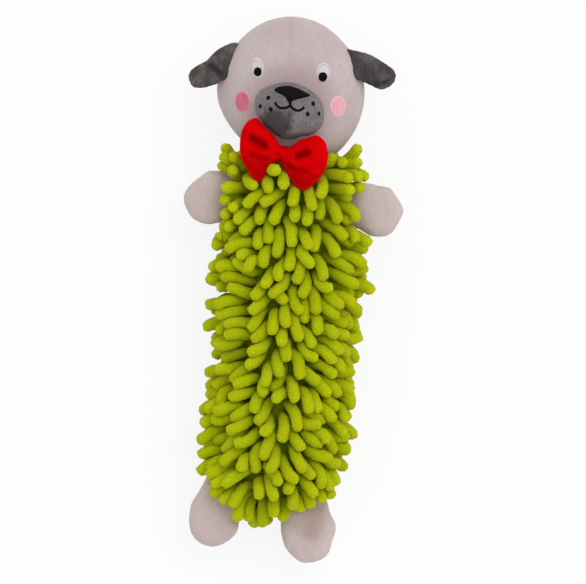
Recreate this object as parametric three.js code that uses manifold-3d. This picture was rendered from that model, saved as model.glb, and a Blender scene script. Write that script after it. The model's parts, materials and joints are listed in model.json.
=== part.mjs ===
import * as THREE from "three";
import { mergeVertices } from "three/addons/utils/BufferGeometryUtils.js";
import Module from "manifold-3d";

// Plush squeaky toy lying on its back. +Y runs to the top of the head and +Z out of the face.
// Places are in millimetres from the neck, with Z from the surface that the toy lies on.

const wasm = await Module();
wasm.setup();

// Fits
const gap = 0.3; // between pieces that touch
const restCut = 0.5; // depth of the flat where a round back rests
const overrun = 5; // how far a cutting solid passes what it cuts
const clothWall = 1.6; // plush cloth of the head and limbs
const stitchHeight = 0.9; // how far a stitched patch stands proud
const neckClearance = 0.7; // round the ball of filling that the head turns on

// Body
const bodyLength = 206;
const bodyWidth = 67;
const bodyDepth = 47;
const bodyRestHeight = 8.5; // base cloth above the surface, the room for the noodles under it
const bodyBend = 15; // sideways drift of the bottom end
const shoulderDrop = 6; // top of the base cloth below the neck
const baseClothWall = 3;
const bodySides = 12;
// How far down the body each ring lies, with its width and its depth
const bodyRingShares = [
  { down: 0, wide: 0.48, deep: 0.64 },
  { down: 0.015, wide: 0.7, deep: 0.76 },
  { down: 0.05, wide: 0.87, deep: 0.88 },
  { down: 0.12, wide: 0.95, deep: 0.96 },
  { down: 0.27, wide: 0.99, deep: 1 },
  { down: 0.5, wide: 1, deep: 1 },
  { down: 0.75, wide: 0.98, deep: 1 },
  { down: 0.87, wide: 0.92, deep: 0.93 },
  { down: 0.94, wide: 0.78, deep: 0.8 },
  { down: 0.98, wide: 0.56, deep: 0.58 },
  { down: 1, wide: 0.3, deep: 0.3 },
];

// Chenille noodles
const noodleWidth = 6.6;
const noodleLength = 24;
const noodleStand = 16.85; // how far the front noodles stand off the base cloth
const noodleRootWidth = 4; // where it is sewn into the base cloth
const noodleSides = 3;
const noodleRoot = 1.3; // how deep a root sits in the base cloth
const noodleRowPitch = 9.4;
const noodleColumnPitch = 10;
const noodleClearance = 0.4; // least room between noodles, and to what moves
const collarLength = 22; // how far down the body the noodles stand up before they droop
const collarRiseShare = 0.95;
const noodleShortestShare = 0.5;
const noodleShorteningShare = 0.12;

// Neck
const neckRadius = 15;
const neckSides = 16;
const neckBands = 10;

// Head
const headWidth = 91.4;
const headHeight = 93.8;
const headDepth = 66;
const headRise = 41.6; // head centre above the neck
const headSides = 16;
const headBands = 10;
const headTurn = -3; // degrees that the head leans to one side as it lies

// Muzzle, from the head's centre
const muzzleWidth = 44;
const muzzleHeight = 38;
const muzzleDepth = 44;
const muzzleDrop = 11.2;
const muzzleSink = 7.5; // its middle behind the front of the head
const muzzleSides = 16;
const muzzleBands = 8;

// Nose and mouth, from the head's centre
const noseWidth = 22.6;
const noseTop = 3.4;
const noseBottom = -6.2;
const noseCorner = 0.4;
const noseWaistShare = 0.5;
const noseBrowShare = 0.8;
const noseBrowRiseShare = 0.7;
const mouthWidth = 18.8;
const mouthEnd = -7.7;
const mouthDip = -10.6;
const mouthMiddle = -8.7;
const mouthStroke = 1.3;
const mouthDipShare = 0.5;

// Whisker dots, one side, from the head's centre
const dotWidth = 2;
const dotSides = 8;
const dotPlaces = [
  { across: 13.9, up: -5.2 },
  { across: 18, up: -10.6 },
  { across: 12.4, up: -13 },
];

// Eyes and cheeks, from the head's centre
const eyeSpacing = 41.6;
const eyeRise = 12.7;
const eyeWidth = 8.6;
const eyeHeight = 12.4;
const pupilWidth = 5.4;
const pupilDrop = 1.8;
const cheekSpacing = 59;
const cheekDrop = 7.8;
const cheekWidth = 9.3;
const cheekHeight = 13.4;
const patchSides = 12;

// Ears, one side, from the head's centre. The root lies on the head's front side.
const earRootTop = new THREE.Vector3(35.6, 28.6, 10.5);
const earRootBottom = new THREE.Vector3(40.4, 8.2, 16.5);
const earReach = 27.5;
const earPanelHeight = 3.2;
const earLean = 14; // degrees that the ear slopes back from the face
// Outline of an ear: out from the root as a share of its reach, along as a share of its root
const earOutlineShares = [
  [0, -0.5], [0, 0], [0, 0.5], [0.3, 0.4], [0.56, 0.12], [0.78, -0.1],
  [0.97, -0.42], [1, -0.66], [0.87, -0.86], [0.66, -0.89], [0.4, -0.8], [0.18, -0.64],
];

// Arms
const armLength = 36;
const armWidth = 34;
const armDepth = 17;
const armHeight = 30; // middle of an arm above the surface
const armRoots = { left: { drop: 24, turn: 4 }, right: { drop: 31, turn: -7 } };

// Feet
const footLength = 46.5;
const footWidth = 33;
const footDepth = 19;
const footHeight = 29;
const footSpacing = 46;
const footRise = 11; // roots above the bottom of the body
const footSplay = 12;
const hipSlant = 10; // of the bottom seam, in degrees
const footTurn = 4; // the feet together lean to one side

// Outline of an arm or foot: out from the root as a share of its length, across of its width
const mittShares = [
  [0, -0.34], [0, 0.34], [0.32, 0.45], [0.66, 0.5], [0.93, 0.32],
  [1, 0], [0.93, -0.32], [0.66, -0.5], [0.32, -0.45],
];
const rootOverlap = 4; // how far a limb reaches in before its root is trimmed to the body

// Bow, from the neck
const bowCentre = new THREE.Vector2(-3.1, 2.2);
const bowTurn = -13;
const bowWingLength = 26.5;
const bowWingHeight = 36.5;
const bowHeight = 61.5; // back of the wings above the surface
const bowThickness = 9;
const bowKnotWidth = 11;
const bowKnotHeight = 17;
const bowKnotDepth = 21; // through the wings to the chin that it is sewn to
const bowKnotProud = 1; // how far the knot stands in front of the wings
// Outline of a wing: out from the knot as a share of its length, across of its height
const bowWingShares = [
  [0, -0.2], [0, 0.2], [0.42, 0.34], [0.82, 0.5], [0.96, 0.3], [1, 0],
  [0.94, -0.3], [0.74, -0.5], [0.42, -0.34],
];

// Squeaker, in the middle of the body
const squeakerDrop = 92; // below the neck
const squeakerWidth = 38;
const squeakerHeight = 20;
const squeakerPlate = 2;
const bellowsWall = 1.2;
const bellowsFold = 2.4;
const bellowsFolds = 3;
const valveWidth = 8;
const valveBore = 4.6;
const valveLength = 9.5;
const valveFlangeWidth = 13;
const valveFlange = 1;
const reedThickness = 0.4;
const reedLength = 7;
const squeakerSides = 24;

// Joint ranges in degrees, for what has to stay clear of a moving piece
const sweepStep = 5;
const nodRange = [0, 10];
const tiltRange = [-15, 15];
const limbRange = [-25, 25];
const earRange = [-20, 60];

// Sizes that follow
const bodyMiddle = bodyRestHeight + bodyDepth / 2;
const headMiddle = headDepth / 2 - restCut;
const headSize = new THREE.Vector3(headWidth, headHeight, headDepth);
const muzzleSize = new THREE.Vector3(muzzleWidth, muzzleHeight, muzzleDepth);
const neck = new THREE.Vector3(0, 0, bodyMiddle);
const headCentre = new THREE.Vector3(0, headRise, headMiddle - bodyMiddle);
const axisX = new THREE.Vector3(1, 0, 0);
const axisY = new THREE.Vector3(0, 1, 0);
const axisZ = new THREE.Vector3(0, 0, 1);

const colours = {
  palePlush: { color: 0xb9afb0, roughness: 0.95 },
  darkPlush: { color: 0x4b4a4e, roughness: 0.95 },
  muzzlePlush: { color: 0x807a7c, roughness: 0.95 },
  blackThread: { color: 0x131214, roughness: 0.6 },
  whiteThread: { color: 0xe8e6e6, roughness: 0.6 },
  pinkThread: { color: 0xe5879b, roughness: 0.7 },
  redFelt: { color: 0xd4060c, roughness: 0.95 },
  greenChenille: { color: 0xa6ba12, roughness: 1 },
  filling: { color: 0xf2f0ea, roughness: 1 },
  squeakerPlastic: { color: 0xe9e7dc, roughness: 0.4 },
};
const materials = {};
for (const [name, look] of Object.entries(colours)) {
  materials[name] = new THREE.MeshStandardMaterial({ ...look, metalness: 0, name });
}

// Solids and meshes

function solidOf(positions, index) {
  return new wasm.Manifold(new wasm.Mesh({
    numProp: 3,
    vertProperties: Float32Array.from(positions),
    triVerts: Uint32Array.from(index),
  }));
}

// A box, a turned profile or an extrusion as a solid
function solidFrom(geometry, matrix = new THREE.Matrix4()) {
  geometry.deleteAttribute("normal");
  geometry.deleteAttribute("uv");
  const merged = mergeVertices(geometry).applyMatrix4(matrix);
  return solidOf(merged.attributes.position.array, merged.index.array);
}

function meshOf(name, solid, material) {
  const { vertProperties, triVerts } = solid.getMesh();
  const geometry = new THREE.BufferGeometry();
  geometry.setAttribute("position", new THREE.BufferAttribute(vertProperties, 3));
  geometry.setIndex(new THREE.BufferAttribute(triVerts, 1));
  const mesh = new THREE.Mesh(geometry, material);
  mesh.name = name;
  return mesh;
}

const moved = (solid, matrix) => solid.transform(matrix.elements);

function turnAbout(point, axis, degrees) {
  const turn = new THREE.Matrix4().makeRotationAxis(axis, THREE.MathUtils.degToRad(degrees));
  const there = new THREE.Matrix4().makeTranslation(point);
  const back = new THREE.Matrix4().makeTranslation(point.clone().negate());
  return there.multiply(turn).multiply(back);
}

function box(low, high) {
  const size = high.clone().sub(low);
  const place = new THREE.Matrix4().makeTranslation(low.clone().add(high).divideScalar(2));
  return solidFrom(new THREE.BoxGeometry(size.x, size.y, size.z), place);
}

// A closed skin through rings of equally many points, drawn to a point at each end
function loft(rings, start, end) {
  const sides = rings[0].length;
  const points = [...rings.flat(), start, end];
  const index = [];
  const startAt = points.length - 2;
  const endAt = points.length - 1;
  for (let side = 0; side < sides; side += 1) {
    const next = (side + 1) % sides;
    index.push(startAt, next, side);
    for (let ring = 0; ring + 1 < rings.length; ring += 1) {
      const here = ring * sides;
      const there = here + sides;
      index.push(here + side, here + next, there + next, here + side, there + next, there + side);
    }
    const last = (rings.length - 1) * sides;
    index.push(last + side, last + next, endAt);
  }
  return outward(points, index);
}

// Turns a skin so that its faces point out
function outward(points, index) {
  let volume = 0;
  for (let at = 0; at < index.length; at += 3) {
    const [a, b, c] = index.slice(at, at + 3).map((point) => points[point]);
    volume += a.dot(b.clone().cross(c));
  }
  const facing = volume < 0 ? index.slice().reverse() : index;
  return solidOf(points.flatMap((point) => point.toArray()), facing);
}

// An egg-like solid with its poles up and down the toy, grown on every side
function ball(centre, size, sides, bands, grown = 0) {
  const half = size.clone().divideScalar(2).addScalar(grown);
  const rings = [];
  for (let band = 1; band < bands; band += 1) {
    const polar = Math.PI * band / bands;
    const ring = [];
    for (let side = 0; side < sides; side += 1) {
      const around = 2 * Math.PI * side / sides;
      const way = new THREE.Vector3(
        Math.sin(polar) * Math.cos(around), Math.cos(polar), Math.sin(polar) * Math.sin(around));
      ring.push(way.multiply(half).add(centre));
    }
    rings.push(ring);
  }
  const pole = new THREE.Vector3(0, half.y, 0);
  return loft(rings, centre.clone().add(pole), centre.clone().sub(pole));
}

// A stuffed half panel: flat on its seam side, with its crown drawn in to the seam all round
const crownShares = [{ kept: 1, risen: 0 }, { kept: 0.8, risen: 0.6 }, { kept: 0.45, risen: 0.93 }];

function panel(outline, crown, side, lift, inset = 0) {
  const middle = outline.reduce((sum, point) => sum.add(point), new THREE.Vector2())
    .divideScalar(outline.length);
  const drawnIn = (point) => {
    const arm = point.clone().sub(middle);
    return arm.setLength(arm.length() - inset);
  };
  const rings = crownShares.map(({ kept, risen }) => outline.map((point) => {
    const at = drawnIn(point).multiplyScalar(kept).add(middle);
    return new THREE.Vector3(at.x, at.y, side * (lift + risen * (crown - inset)));
  }));
  const seam = new THREE.Vector3(middle.x, middle.y, side * lift);
  const top = new THREE.Vector3(middle.x, middle.y, side * (lift + crown - inset));
  return loft(rings, seam, top);
}

const outlineOf = (shares, length, width) =>
  shares.map(([out, across]) => new THREE.Vector2(out * length, across * width));

// A flat outline drawn out along Z
function prism(outline, low, high) {
  const settings = { depth: high - low, bevelEnabled: false };
  const flat = new THREE.ExtrudeGeometry(new THREE.Shape(outline), settings);
  return solidFrom(flat, new THREE.Matrix4().makeTranslation(new THREE.Vector3(0, 0, low)));
}

function oval(centre, width, height, sides) {
  const points = [];
  for (let side = 0; side < sides; side += 1) {
    const around = 2 * Math.PI * side / sides;
    points.push(new THREE.Vector2(
      centre.x + width / 2 * Math.cos(around), centre.y + height / 2 * Math.sin(around)));
  }
  return points;
}

// A joint's angles, both ends included
function anglesOf([low, high]) {
  const steps = Math.ceil((high - low) / sweepStep);
  return Array.from({ length: steps + 1 }, (unused, step) => low + (high - low) * step / steps);
}

// Everything that a piece passes through as it turns
function sweptBy(solid, point, axis, range) {
  const copies = anglesOf(range).map((angle) => moved(solid, turnAbout(point, axis, angle)));
  return wasm.Manifold.union(copies);
}

// Trims a turning piece so that it stays clear of what stands still, at each of its angles
function trimmedForTurning(solid, still, point, axis, range) {
  return solid.subtract(sweptBy(still, point, axis, [-range[1], -range[0]]));
}

// Body

const bodyBottom = -shoulderDrop - bodyLength;

function bodyCentre(y) {
  const down = (-y - shoulderDrop) / bodyLength;
  return new THREE.Vector3(-bodyBend * down * down, y, bodyMiddle);
}

function bodyHalf(down) {
  const after = Math.max(bodyRingShares.findIndex((ring) => ring.down >= down), 1);
  const low = bodyRingShares[after - 1];
  const high = bodyRingShares[after];
  const between = (down - low.down) / (high.down - low.down);
  return {
    wide: THREE.MathUtils.lerp(low.wide, high.wide, between) * bodyWidth / 2,
    deep: THREE.MathUtils.lerp(low.deep, high.deep, between) * bodyDepth / 2,
  };
}

// A point of the base cloth, on the flat between two of its corners
function bodyPoint(down, around) {
  const half = bodyHalf(down);
  const centre = bodyCentre(-shoulderDrop - down * bodyLength);
  const corner = (at) => {
    const angle = 2 * Math.PI * at / bodySides;
    return new THREE.Vector3(half.wide * Math.cos(angle), 0, half.deep * Math.sin(angle));
  };
  const turns = around / (2 * Math.PI) * bodySides;
  const before = Math.floor(turns);
  return centre.add(corner(before).lerp(corner(before + 1), turns - before));
}

// The base cloth's outside, or what lies inset from it
function bodyForm(inset = 0) {
  const rings = bodyRingShares.map(({ down, wide, deep }) => {
    const from = THREE.MathUtils.clamp(down * bodyLength, inset, bodyLength - inset);
    const centre = bodyCentre(-shoulderDrop - from);
    const across = wide * bodyWidth / 2 - inset;
    const through = deep * bodyDepth / 2 - inset;
    const ring = [];
    for (let side = 0; side < bodySides; side += 1) {
      const around = 2 * Math.PI * side / bodySides;
      const way = new THREE.Vector3(across * Math.cos(around), 0, through * Math.sin(around));
      ring.push(way.add(centre));
    }
    return ring;
  });
  return loft(rings, bodyCentre(-shoulderDrop - inset), bodyCentre(bodyBottom + inset));
}

const farSide = bodyLength + headHeight;
const slab = (low, high) =>
  box(new THREE.Vector3(-farSide, -farSide, low), new THREE.Vector3(farSide, farSide, high));
const frontOf = (height) => slab(height + gap / 2, farSide);
const backOf = (height) => slab(-farSide, height - gap / 2);

const neckForm = (grown) => {
  const size = new THREE.Vector3(2 * neckRadius, 2 * neckRadius, 2 * neckRadius);
  return ball(new THREE.Vector3(), size, neckSides, neckBands, grown);
};
const neckSeat = moved(neckForm(neckClearance), new THREE.Matrix4().makeTranslation(neck));
const bodyOutside = bodyForm();

// Head pieces, made about the neck

const headForm = (grown) => ball(headCentre, headSize, headSides, headBands, grown);
const muzzleCentre = headCentre.clone()
  .add(new THREE.Vector3(0, -muzzleDrop, headDepth / 2 - muzzleSink));
const muzzleForm = (grown) => ball(muzzleCentre, muzzleSize, muzzleSides, muzzleBands, grown);
const headOutside = headForm(0);

function headPieces() {
  const seat = neckForm(neckClearance);
  const below = box(
    new THREE.Vector3(-headWidth, -headHeight, -headDepth), new THREE.Vector3(headWidth, 0, headDepth));
  const under = slab(-farSide, -bodyMiddle);
  const cover = headOutside.subtract(headForm(-clothWall)).subtract(seat).subtract(below).subtract(under);
  const filling = headForm(-clothWall - gap).subtract(seat).subtract(below);
  return [
    meshOf("head_front_cover", cover.intersect(frontOf(headCentre.z)), materials.palePlush),
    meshOf("head_back_cover", cover.intersect(backOf(headCentre.z)), materials.palePlush),
    meshOf("head_filling", filling, materials.filling),
  ];
}

function muzzlePieces() {
  const onHead = headForm(gap);
  const cover = muzzleForm(0).subtract(muzzleForm(-clothWall)).subtract(onHead);
  const filling = muzzleForm(-clothWall - gap).subtract(onHead);
  return [
    meshOf("muzzle_cover", cover, materials.muzzlePlush),
    meshOf("muzzle_filling", filling, materials.filling),
  ];
}

const onHead = { form: headForm, from: headCentre.z };
const onMuzzle = { form: muzzleForm, from: muzzleCentre.z };

// A stitched patch: its outlines, bent over the form that it is stitched to
function patch(name, outlines, { form, from }, material, below = gap) {
  const column = wasm.Manifold.union(outlines.map((outline) => prism(outline, from, farSide)));
  const skin = form(below + stitchHeight).subtract(form(below));
  return meshOf(name, column.intersect(skin), material);
}

const onFace = (across, up) => new THREE.Vector2(headCentre.x + across, headCentre.y + up);

function nose() {
  const half = noseWidth / 2;
  const waist = noseWaistShare * half;
  const low = noseWaistShare * noseBottom;
  const brow = noseBrowShare * half;
  const high = noseBrowRiseShare * noseTop;
  const outline = [
    onFace(0, noseBottom), onFace(waist, low), onFace(half, noseCorner), onFace(brow, high),
    onFace(0, noseTop), onFace(-brow, high), onFace(-half, noseCorner), onFace(-waist, low),
  ];
  return patch("nose", [outline], onMuzzle, materials.blackThread);
}

// A stitched line from point to point, as a band of one width
function band(points, width) {
  const side = (at) => {
    const before = points[Math.max(at - 1, 0)];
    const after = points[Math.min(at + 1, points.length - 1)];
    const along = after.clone().sub(before).normalize();
    return new THREE.Vector2(-along.y, along.x).multiplyScalar(width / 2);
  };
  const left = points.map((point, at) => point.clone().add(side(at)));
  const right = points.map((point, at) => point.clone().sub(side(at)));
  return [...left, ...right.reverse()];
}

function mouth() {
  const half = mouthWidth / 2;
  const dip = mouthDipShare * half;
  const smile = band([
    onFace(-half, mouthEnd), onFace(-dip, mouthDip), onFace(0, mouthMiddle),
    onFace(dip, mouthDip), onFace(half, mouthEnd),
  ], mouthStroke);
  const line = band([onFace(0, noseBottom - gap), onFace(0, mouthMiddle)], mouthStroke);
  return patch("mouth", [smile, line], onMuzzle, materials.blackThread);
}

function facePieces() {
  const pieces = [nose(), mouth()];
  const sides = { left: -1, right: 1 };
  for (const [side, sign] of Object.entries(sides)) {
    dotPlaces.forEach(({ across, up }, at) => {
      const outline = oval(onFace(sign * across, up), dotWidth, dotWidth, dotSides);
      pieces.push(patch(`whisker_dot_${side}_${at + 1}`, [outline], onMuzzle, materials.blackThread));
    });
    const eye = onFace(sign * eyeSpacing / 2, eyeRise);
    const pupil = eye.clone().sub(new THREE.Vector2(0, pupilDrop));
    const cheek = onFace(sign * cheekSpacing / 2, -cheekDrop);
    pieces.push(
      patch(`eye_white_${side}`, [oval(eye, eyeWidth, eyeHeight, patchSides)], onHead, materials.whiteThread),
      patch(`pupil_${side}`, [oval(pupil, pupilWidth, pupilWidth, patchSides)], onHead,
        materials.blackThread, 2 * gap + stitchHeight),
      patch(`cheek_patch_${side}`, [oval(cheek, cheekWidth, cheekHeight, patchSides)], onHead,
        materials.pinkThread));
  }
  return pieces;
}

// Ears. Each has its own frame: X out from the root, Y up along it, Z to the front.

function earFrame(sign) {
  const mirrored = (point) => new THREE.Vector3(sign * point.x, point.y, point.z).add(headCentre);
  const top = mirrored(earRootTop);
  const bottom = mirrored(earRootBottom);
  const along = top.clone().sub(bottom).normalize();
  const outwardWay = new THREE.Vector3(sign, 0, 0).addScaledVector(along, -sign * along.x).normalize();
  const lean = THREE.MathUtils.degToRad(sign * earLean);
  outwardWay.applyAxisAngle(along, lean);
  const matrix = new THREE.Matrix4().makeBasis(outwardWay, along, outwardWay.clone().cross(along));
  matrix.setPosition(top.clone().add(bottom).divideScalar(2));
  return { length: top.distanceTo(bottom), matrix };
}

function ear(side, sign) {
  const { length, matrix } = earFrame(sign);
  const toEar = matrix.clone().invert();
  const still = moved(headForm(gap), toEar);
  const range = sign < 0 ? earRange : [-earRange[1], -earRange[0]];
  const outline = outlineOf(earOutlineShares, earReach, length);
  const group = new THREE.Group();
  group.name = `ear_${side}_hinge`;
  for (const [face, way] of [["front", 1], ["back", -1]]) {
    const facing = way * sign;
    const whole = panel(outline, earPanelHeight, facing, gap / 2);
    const trimmed = trimmedForTurning(whole, still, new THREE.Vector3(), axisY, range);
    group.add(meshOf(`ear_${side}_${face}_panel`, trimmed, materials.darkPlush));
  }
  group.applyMatrix4(matrix);
  return group;
}

// Bow

function bowPieces() {
  const lift = bowHeight - bodyMiddle;
  const shape = outlineOf(bowWingShares, bowWingLength, bowWingHeight);
  const knotSize = new THREE.Vector3(bowKnotWidth, bowKnotHeight, bowKnotDepth);
  const knotCentre = new THREE.Vector3(0, 0, lift + bowThickness + bowKnotProud - bowKnotDepth / 2);
  const knot = ball(knotCentre, knotSize, patchSides, muzzleBands);
  const knotSeat = ball(knotCentre, knotSize, patchSides, muzzleBands, gap);
  const place = new THREE.Matrix4().makeRotationZ(THREE.MathUtils.degToRad(bowTurn - headTurn))
    .setPosition(bowCentre.x, bowCentre.y, 0);
  const clear = headForm(gap).add(muzzleForm(gap));
  const pieces = [meshOf("bow_knot", moved(knot, place).subtract(clear), materials.redFelt)];
  for (const [side, sign] of [["left", -1], ["right", 1]]) {
    const outline = shape.map((point) => new THREE.Vector2(sign * point.x, point.y));
    const middle = lift + bowThickness / 2;
    const wing = panel(outline, bowThickness / 2, 1, 0).add(panel(outline, bowThickness / 2, -1, 0))
      .translate([0, 0, middle]).subtract(knotSeat);
    pieces.push(meshOf(`bow_${side}_wing`, moved(wing, place).subtract(clear), materials.redFelt));
  }
  return pieces;
}

// Arms and feet. Each has its own frame: X out from the root, Z to the front.

function limb(name, place, size) {
  const outline = outlineOf(mittShares, size.length, size.width);
  const reachedIn = outline.map((point) => new THREE.Vector2(point.x || -rootOverlap, point.y));
  const still = moved(bodyForm(-gap), place.clone().invert());
  const trimmed = (solid) => trimmedForTurning(solid, still, new THREE.Vector3(), axisY, limbRange);
  const crown = size.depth / 2;
  const group = new THREE.Group();
  group.name = `${name}_hinge`;
  for (const [face, way] of [["front", 1], ["back", -1]]) {
    const cover = panel(reachedIn, crown, way, gap / 2).subtract(panel(reachedIn, crown, way, 0, clothWall));
    group.add(meshOf(`${name}_${face}_cover`, trimmed(cover), materials.palePlush));
  }
  const inset = clothWall + gap;
  const filling = panel(reachedIn, crown, 1, 0, inset).add(panel(reachedIn, crown, -1, 0, inset));
  group.add(meshOf(`${name}_filling`, trimmed(filling), materials.filling));
  group.applyMatrix4(place);
  return group;
}

function limbPlace(root, degrees) {
  return new THREE.Matrix4().makeRotationZ(THREE.MathUtils.degToRad(degrees)).setPosition(root);
}

function armPlace(sign, { drop, turn }) {
  const half = bodyHalf((drop - shoulderDrop) / bodyLength);
  const across = (armHeight - bodyMiddle) / half.deep;
  const centre = bodyCentre(-drop);
  const out = half.wide * Math.sqrt(1 - across * across) + gap;
  const root = new THREE.Vector3(centre.x + sign * out, -drop, armHeight);
  return limbPlace(root, sign > 0 ? turn : 180 - turn);
}

function footPlace(sign) {
  const slant = THREE.MathUtils.degToRad(hipSlant);
  const centre = bodyCentre(bodyBottom + footRise);
  const away = sign * footSpacing / 2;
  const root = new THREE.Vector3(
    centre.x + away * Math.cos(slant), centre.y - away * Math.sin(slant), footHeight);
  return limbPlace(root, -90 - footTurn + sign * footSplay);
}

function limbs() {
  const arm = { length: armLength, width: armWidth, depth: armDepth };
  const foot = { length: footLength, width: footWidth, depth: footDepth };
  return [
    limb("arm_left", armPlace(-1, armRoots.left), arm),
    limb("arm_right", armPlace(1, armRoots.right), arm),
    limb("foot_left", footPlace(-1), foot),
    limb("foot_right", footPlace(1), foot),
  ];
}

// Noodle cover

// A noodle from its root on the base cloth to its tip, or a stouter one to test for room
function noodle({ root, normal, way, length }, stouter = 0) {
  const half = noodleRootWidth / 2 + stouter;
  const tipHalf = noodleWidth / 2 + stouter;
  const side = way.clone().cross(normal).normalize();
  const along = normal.clone().cross(side);
  const over = way.clone().cross(side);
  const foot = root.clone().addScaledVector(normal, -noodleRoot);
  const tip = root.clone().addScaledVector(way, length + stouter);
  const points = [];
  const index = [];
  for (const [centre, reach, second] of [[foot, half, along], [tip, tipHalf, over]]) {
    for (let at = 0; at < noodleSides; at += 1) {
      const around = 2 * Math.PI * at / noodleSides;
      points.push(centre.clone().addScaledVector(side, reach * Math.sin(around))
        .addScaledVector(second, reach * Math.cos(around)));
    }
  }
  for (let at = 0; at < noodleSides; at += 1) {
    const next = (at + 1) % noodleSides;
    index.push(at, next, next + noodleSides, at, next + noodleSides, at + noodleSides);
  }
  for (let at = 2; at < noodleSides; at += 1) {
    index.push(0, at, at - 1, noodleSides, noodleSides + at - 1, noodleSides + at);
  }
  return outward(points, index);
}

// Angles that share a ring's length out evenly
function evenAngles(half, count, shift) {
  const fine = 360;
  const lengths = [0];
  for (let at = 1; at <= fine; at += 1) {
    const around = 2 * Math.PI * (at - 0.5) / fine;
    const speed = Math.hypot(half.wide * Math.sin(around), half.deep * Math.cos(around));
    lengths.push(lengths[at - 1] + speed);
  }
  return Array.from({ length: count }, (unused, at) => {
    const wanted = lengths[fine] * (at + shift) / count;
    return 2 * Math.PI * lengths.findIndex((length) => length >= wanted) / fine;
  });
}

const ringLength = ({ wide, deep }) => 2 * Math.PI * Math.sqrt((wide * wide + deep * deep) / 2);

// Rows from the shoulder to the bottom end, as far apart along the cloth as the pitch
function noodleRows() {
  const rows = [];
  const fine = 400;
  let travelled = noodleRowPitch / 2;
  for (let at = 1; at < fine; at += 1) {
    const before = bodyPoint((at - 1) / fine, 0);
    travelled += bodyPoint(at / fine, 0).distanceTo(before);
    if (travelled >= noodleRowPitch) {
      travelled -= noodleRowPitch;
      rows.push(at / fine);
    }
  }
  return rows;
}

// Keeps a root off the side seam, where the front and back cloth meet
function offSeam(around, half) {
  const least = (noodleWidth / 2 + gap) / half.deep;
  const rise = Math.sin(around);
  if (Math.abs(rise) >= least) return around;
  const lifted = Math.asin(Math.min(least, 1)) * (rise < 0 ? -1 : 1);
  return Math.cos(around) < 0 ? Math.PI - lifted : lifted;
}

function noodleAt(down, around) {
  const small = 0.002;
  const root = bodyPoint(down, around);
  const round = bodyPoint(down, around + small).sub(bodyPoint(down, around - small));
  const lower = bodyPoint(Math.min(down + small, 1), around).sub(bodyPoint(down - small, around));
  const normal = round.cross(lower).normalize();
  const outwards = root.clone().sub(bodyCentre(root.y));
  if (normal.dot(outwards) < 0) normal.negate();
  const downwards = axisY.clone().negate();
  downwards.addScaledVector(normal, -downwards.dot(normal)).normalize();
  const frontShare = (1 + normal.z) / 2;
  const stand = THREE.MathUtils.lerp(bodyRestHeight + restCut, noodleStand, frontShare);
  const flatSide = noodleWidth / 2 * Math.cos(Math.PI / noodleSides);
  const drooped = (stand - flatSide) / noodleLength;
  const collar = THREE.MathUtils.clamp(1 - down * bodyLength / collarLength, 0, 1) * frontShare;
  const rise = THREE.MathUtils.lerp(drooped, collarRiseShare, collar);
  const way = normal.clone().multiplyScalar(rise).addScaledVector(downwards, Math.sqrt(1 - rise * rise));
  return { root, normal, way, length: noodleLength };
}

// Shortens a noodle until it is clear of what moves past it, or leaves it out
function clearOf(candidate, sweeps) {
  const shortest = noodleLength * noodleShortestShare;
  const step = noodleLength * noodleShorteningShare;
  for (let length = noodleLength; length >= shortest; length -= step) {
    const tried = { ...candidate, length };
    const room = noodle(tried, noodleClearance);
    if (sweeps.every((sweep) => room.intersect(sweep).isEmpty())) return tried;
  }
  return null;
}

const crosses = (one, other) =>
  one.root.distanceTo(other.root) < 2 * noodleLength && !one.room.intersect(other.room).isEmpty();

function placedNoodles(sweeps) {
  const placed = [];
  noodleRows().forEach((down, row) => {
    const half = bodyHalf(down);
    const count = Math.round(ringLength(half) / noodleColumnPitch);
    const shift = row % 2 ? 0.75 : 0.25;
    for (const angle of evenAngles(half, count, shift)) {
      const fitted = clearOf(noodleAt(down, offSeam(angle, half)), sweeps);
      if (!fitted) continue;
      fitted.room = noodle(fitted, noodleClearance / 2);
      if (!placed.some((other) => crosses(fitted, other))) placed.push(fitted);
    }
  });
  return placed;
}

function noodleCover(sweeps) {
  const placed = placedNoodles(sweeps);
  console.log(`${placed.length} noodles, each at least ${noodleClearance} mm from the next`);
  const cloth = bodyOutside.subtract(bodyForm(baseClothWall)).subtract(neckSeat);
  const floor = slab(-farSide, 0);
  const slices = [
    ["noodle_cover_front", frontOf(bodyMiddle), ({ root }) => root.z > bodyMiddle],
    ["noodle_cover_back", backOf(bodyMiddle), ({ root }) => root.z <= bodyMiddle],
  ];
  return slices.map(([name, half, isHere]) => {
    const strands = placed.filter(isHere).map((one) => noodle(one));
    const whole = wasm.Manifold.union([cloth.intersect(half), ...strands]).subtract(floor);
    return meshOf(name, whole, materials.greenChenille);
  });
}

// Body filling and squeaker

const squeakerCentre = bodyCentre(-squeakerDrop);

function turned(profile, sides = squeakerSides) {
  const points = profile.map(([radius, height]) => new THREE.Vector2(radius, height));
  const stand = new THREE.Matrix4().makeRotationX(Math.PI / 2);
  return solidFrom(new THREE.LatheGeometry([...points, points[0]], sides), stand);
}

const disc = (width, low, high) => turned([[0, low], [width / 2, low], [width / 2, high], [0, high]]);

function fillingPieces() {
  const pocket = disc(squeakerWidth + 2 * gap, -squeakerHeight / 2 - gap, squeakerHeight / 2 + gap)
    .translate(squeakerCentre.toArray());
  const whole = bodyForm(baseClothWall + gap).subtract(neckSeat).subtract(pocket);
  return [
    meshOf("body_filling_front", whole.intersect(frontOf(bodyMiddle)), materials.filling),
    meshOf("body_filling_back", whole.intersect(backOf(bodyMiddle)), materials.filling),
  ];
}

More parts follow.
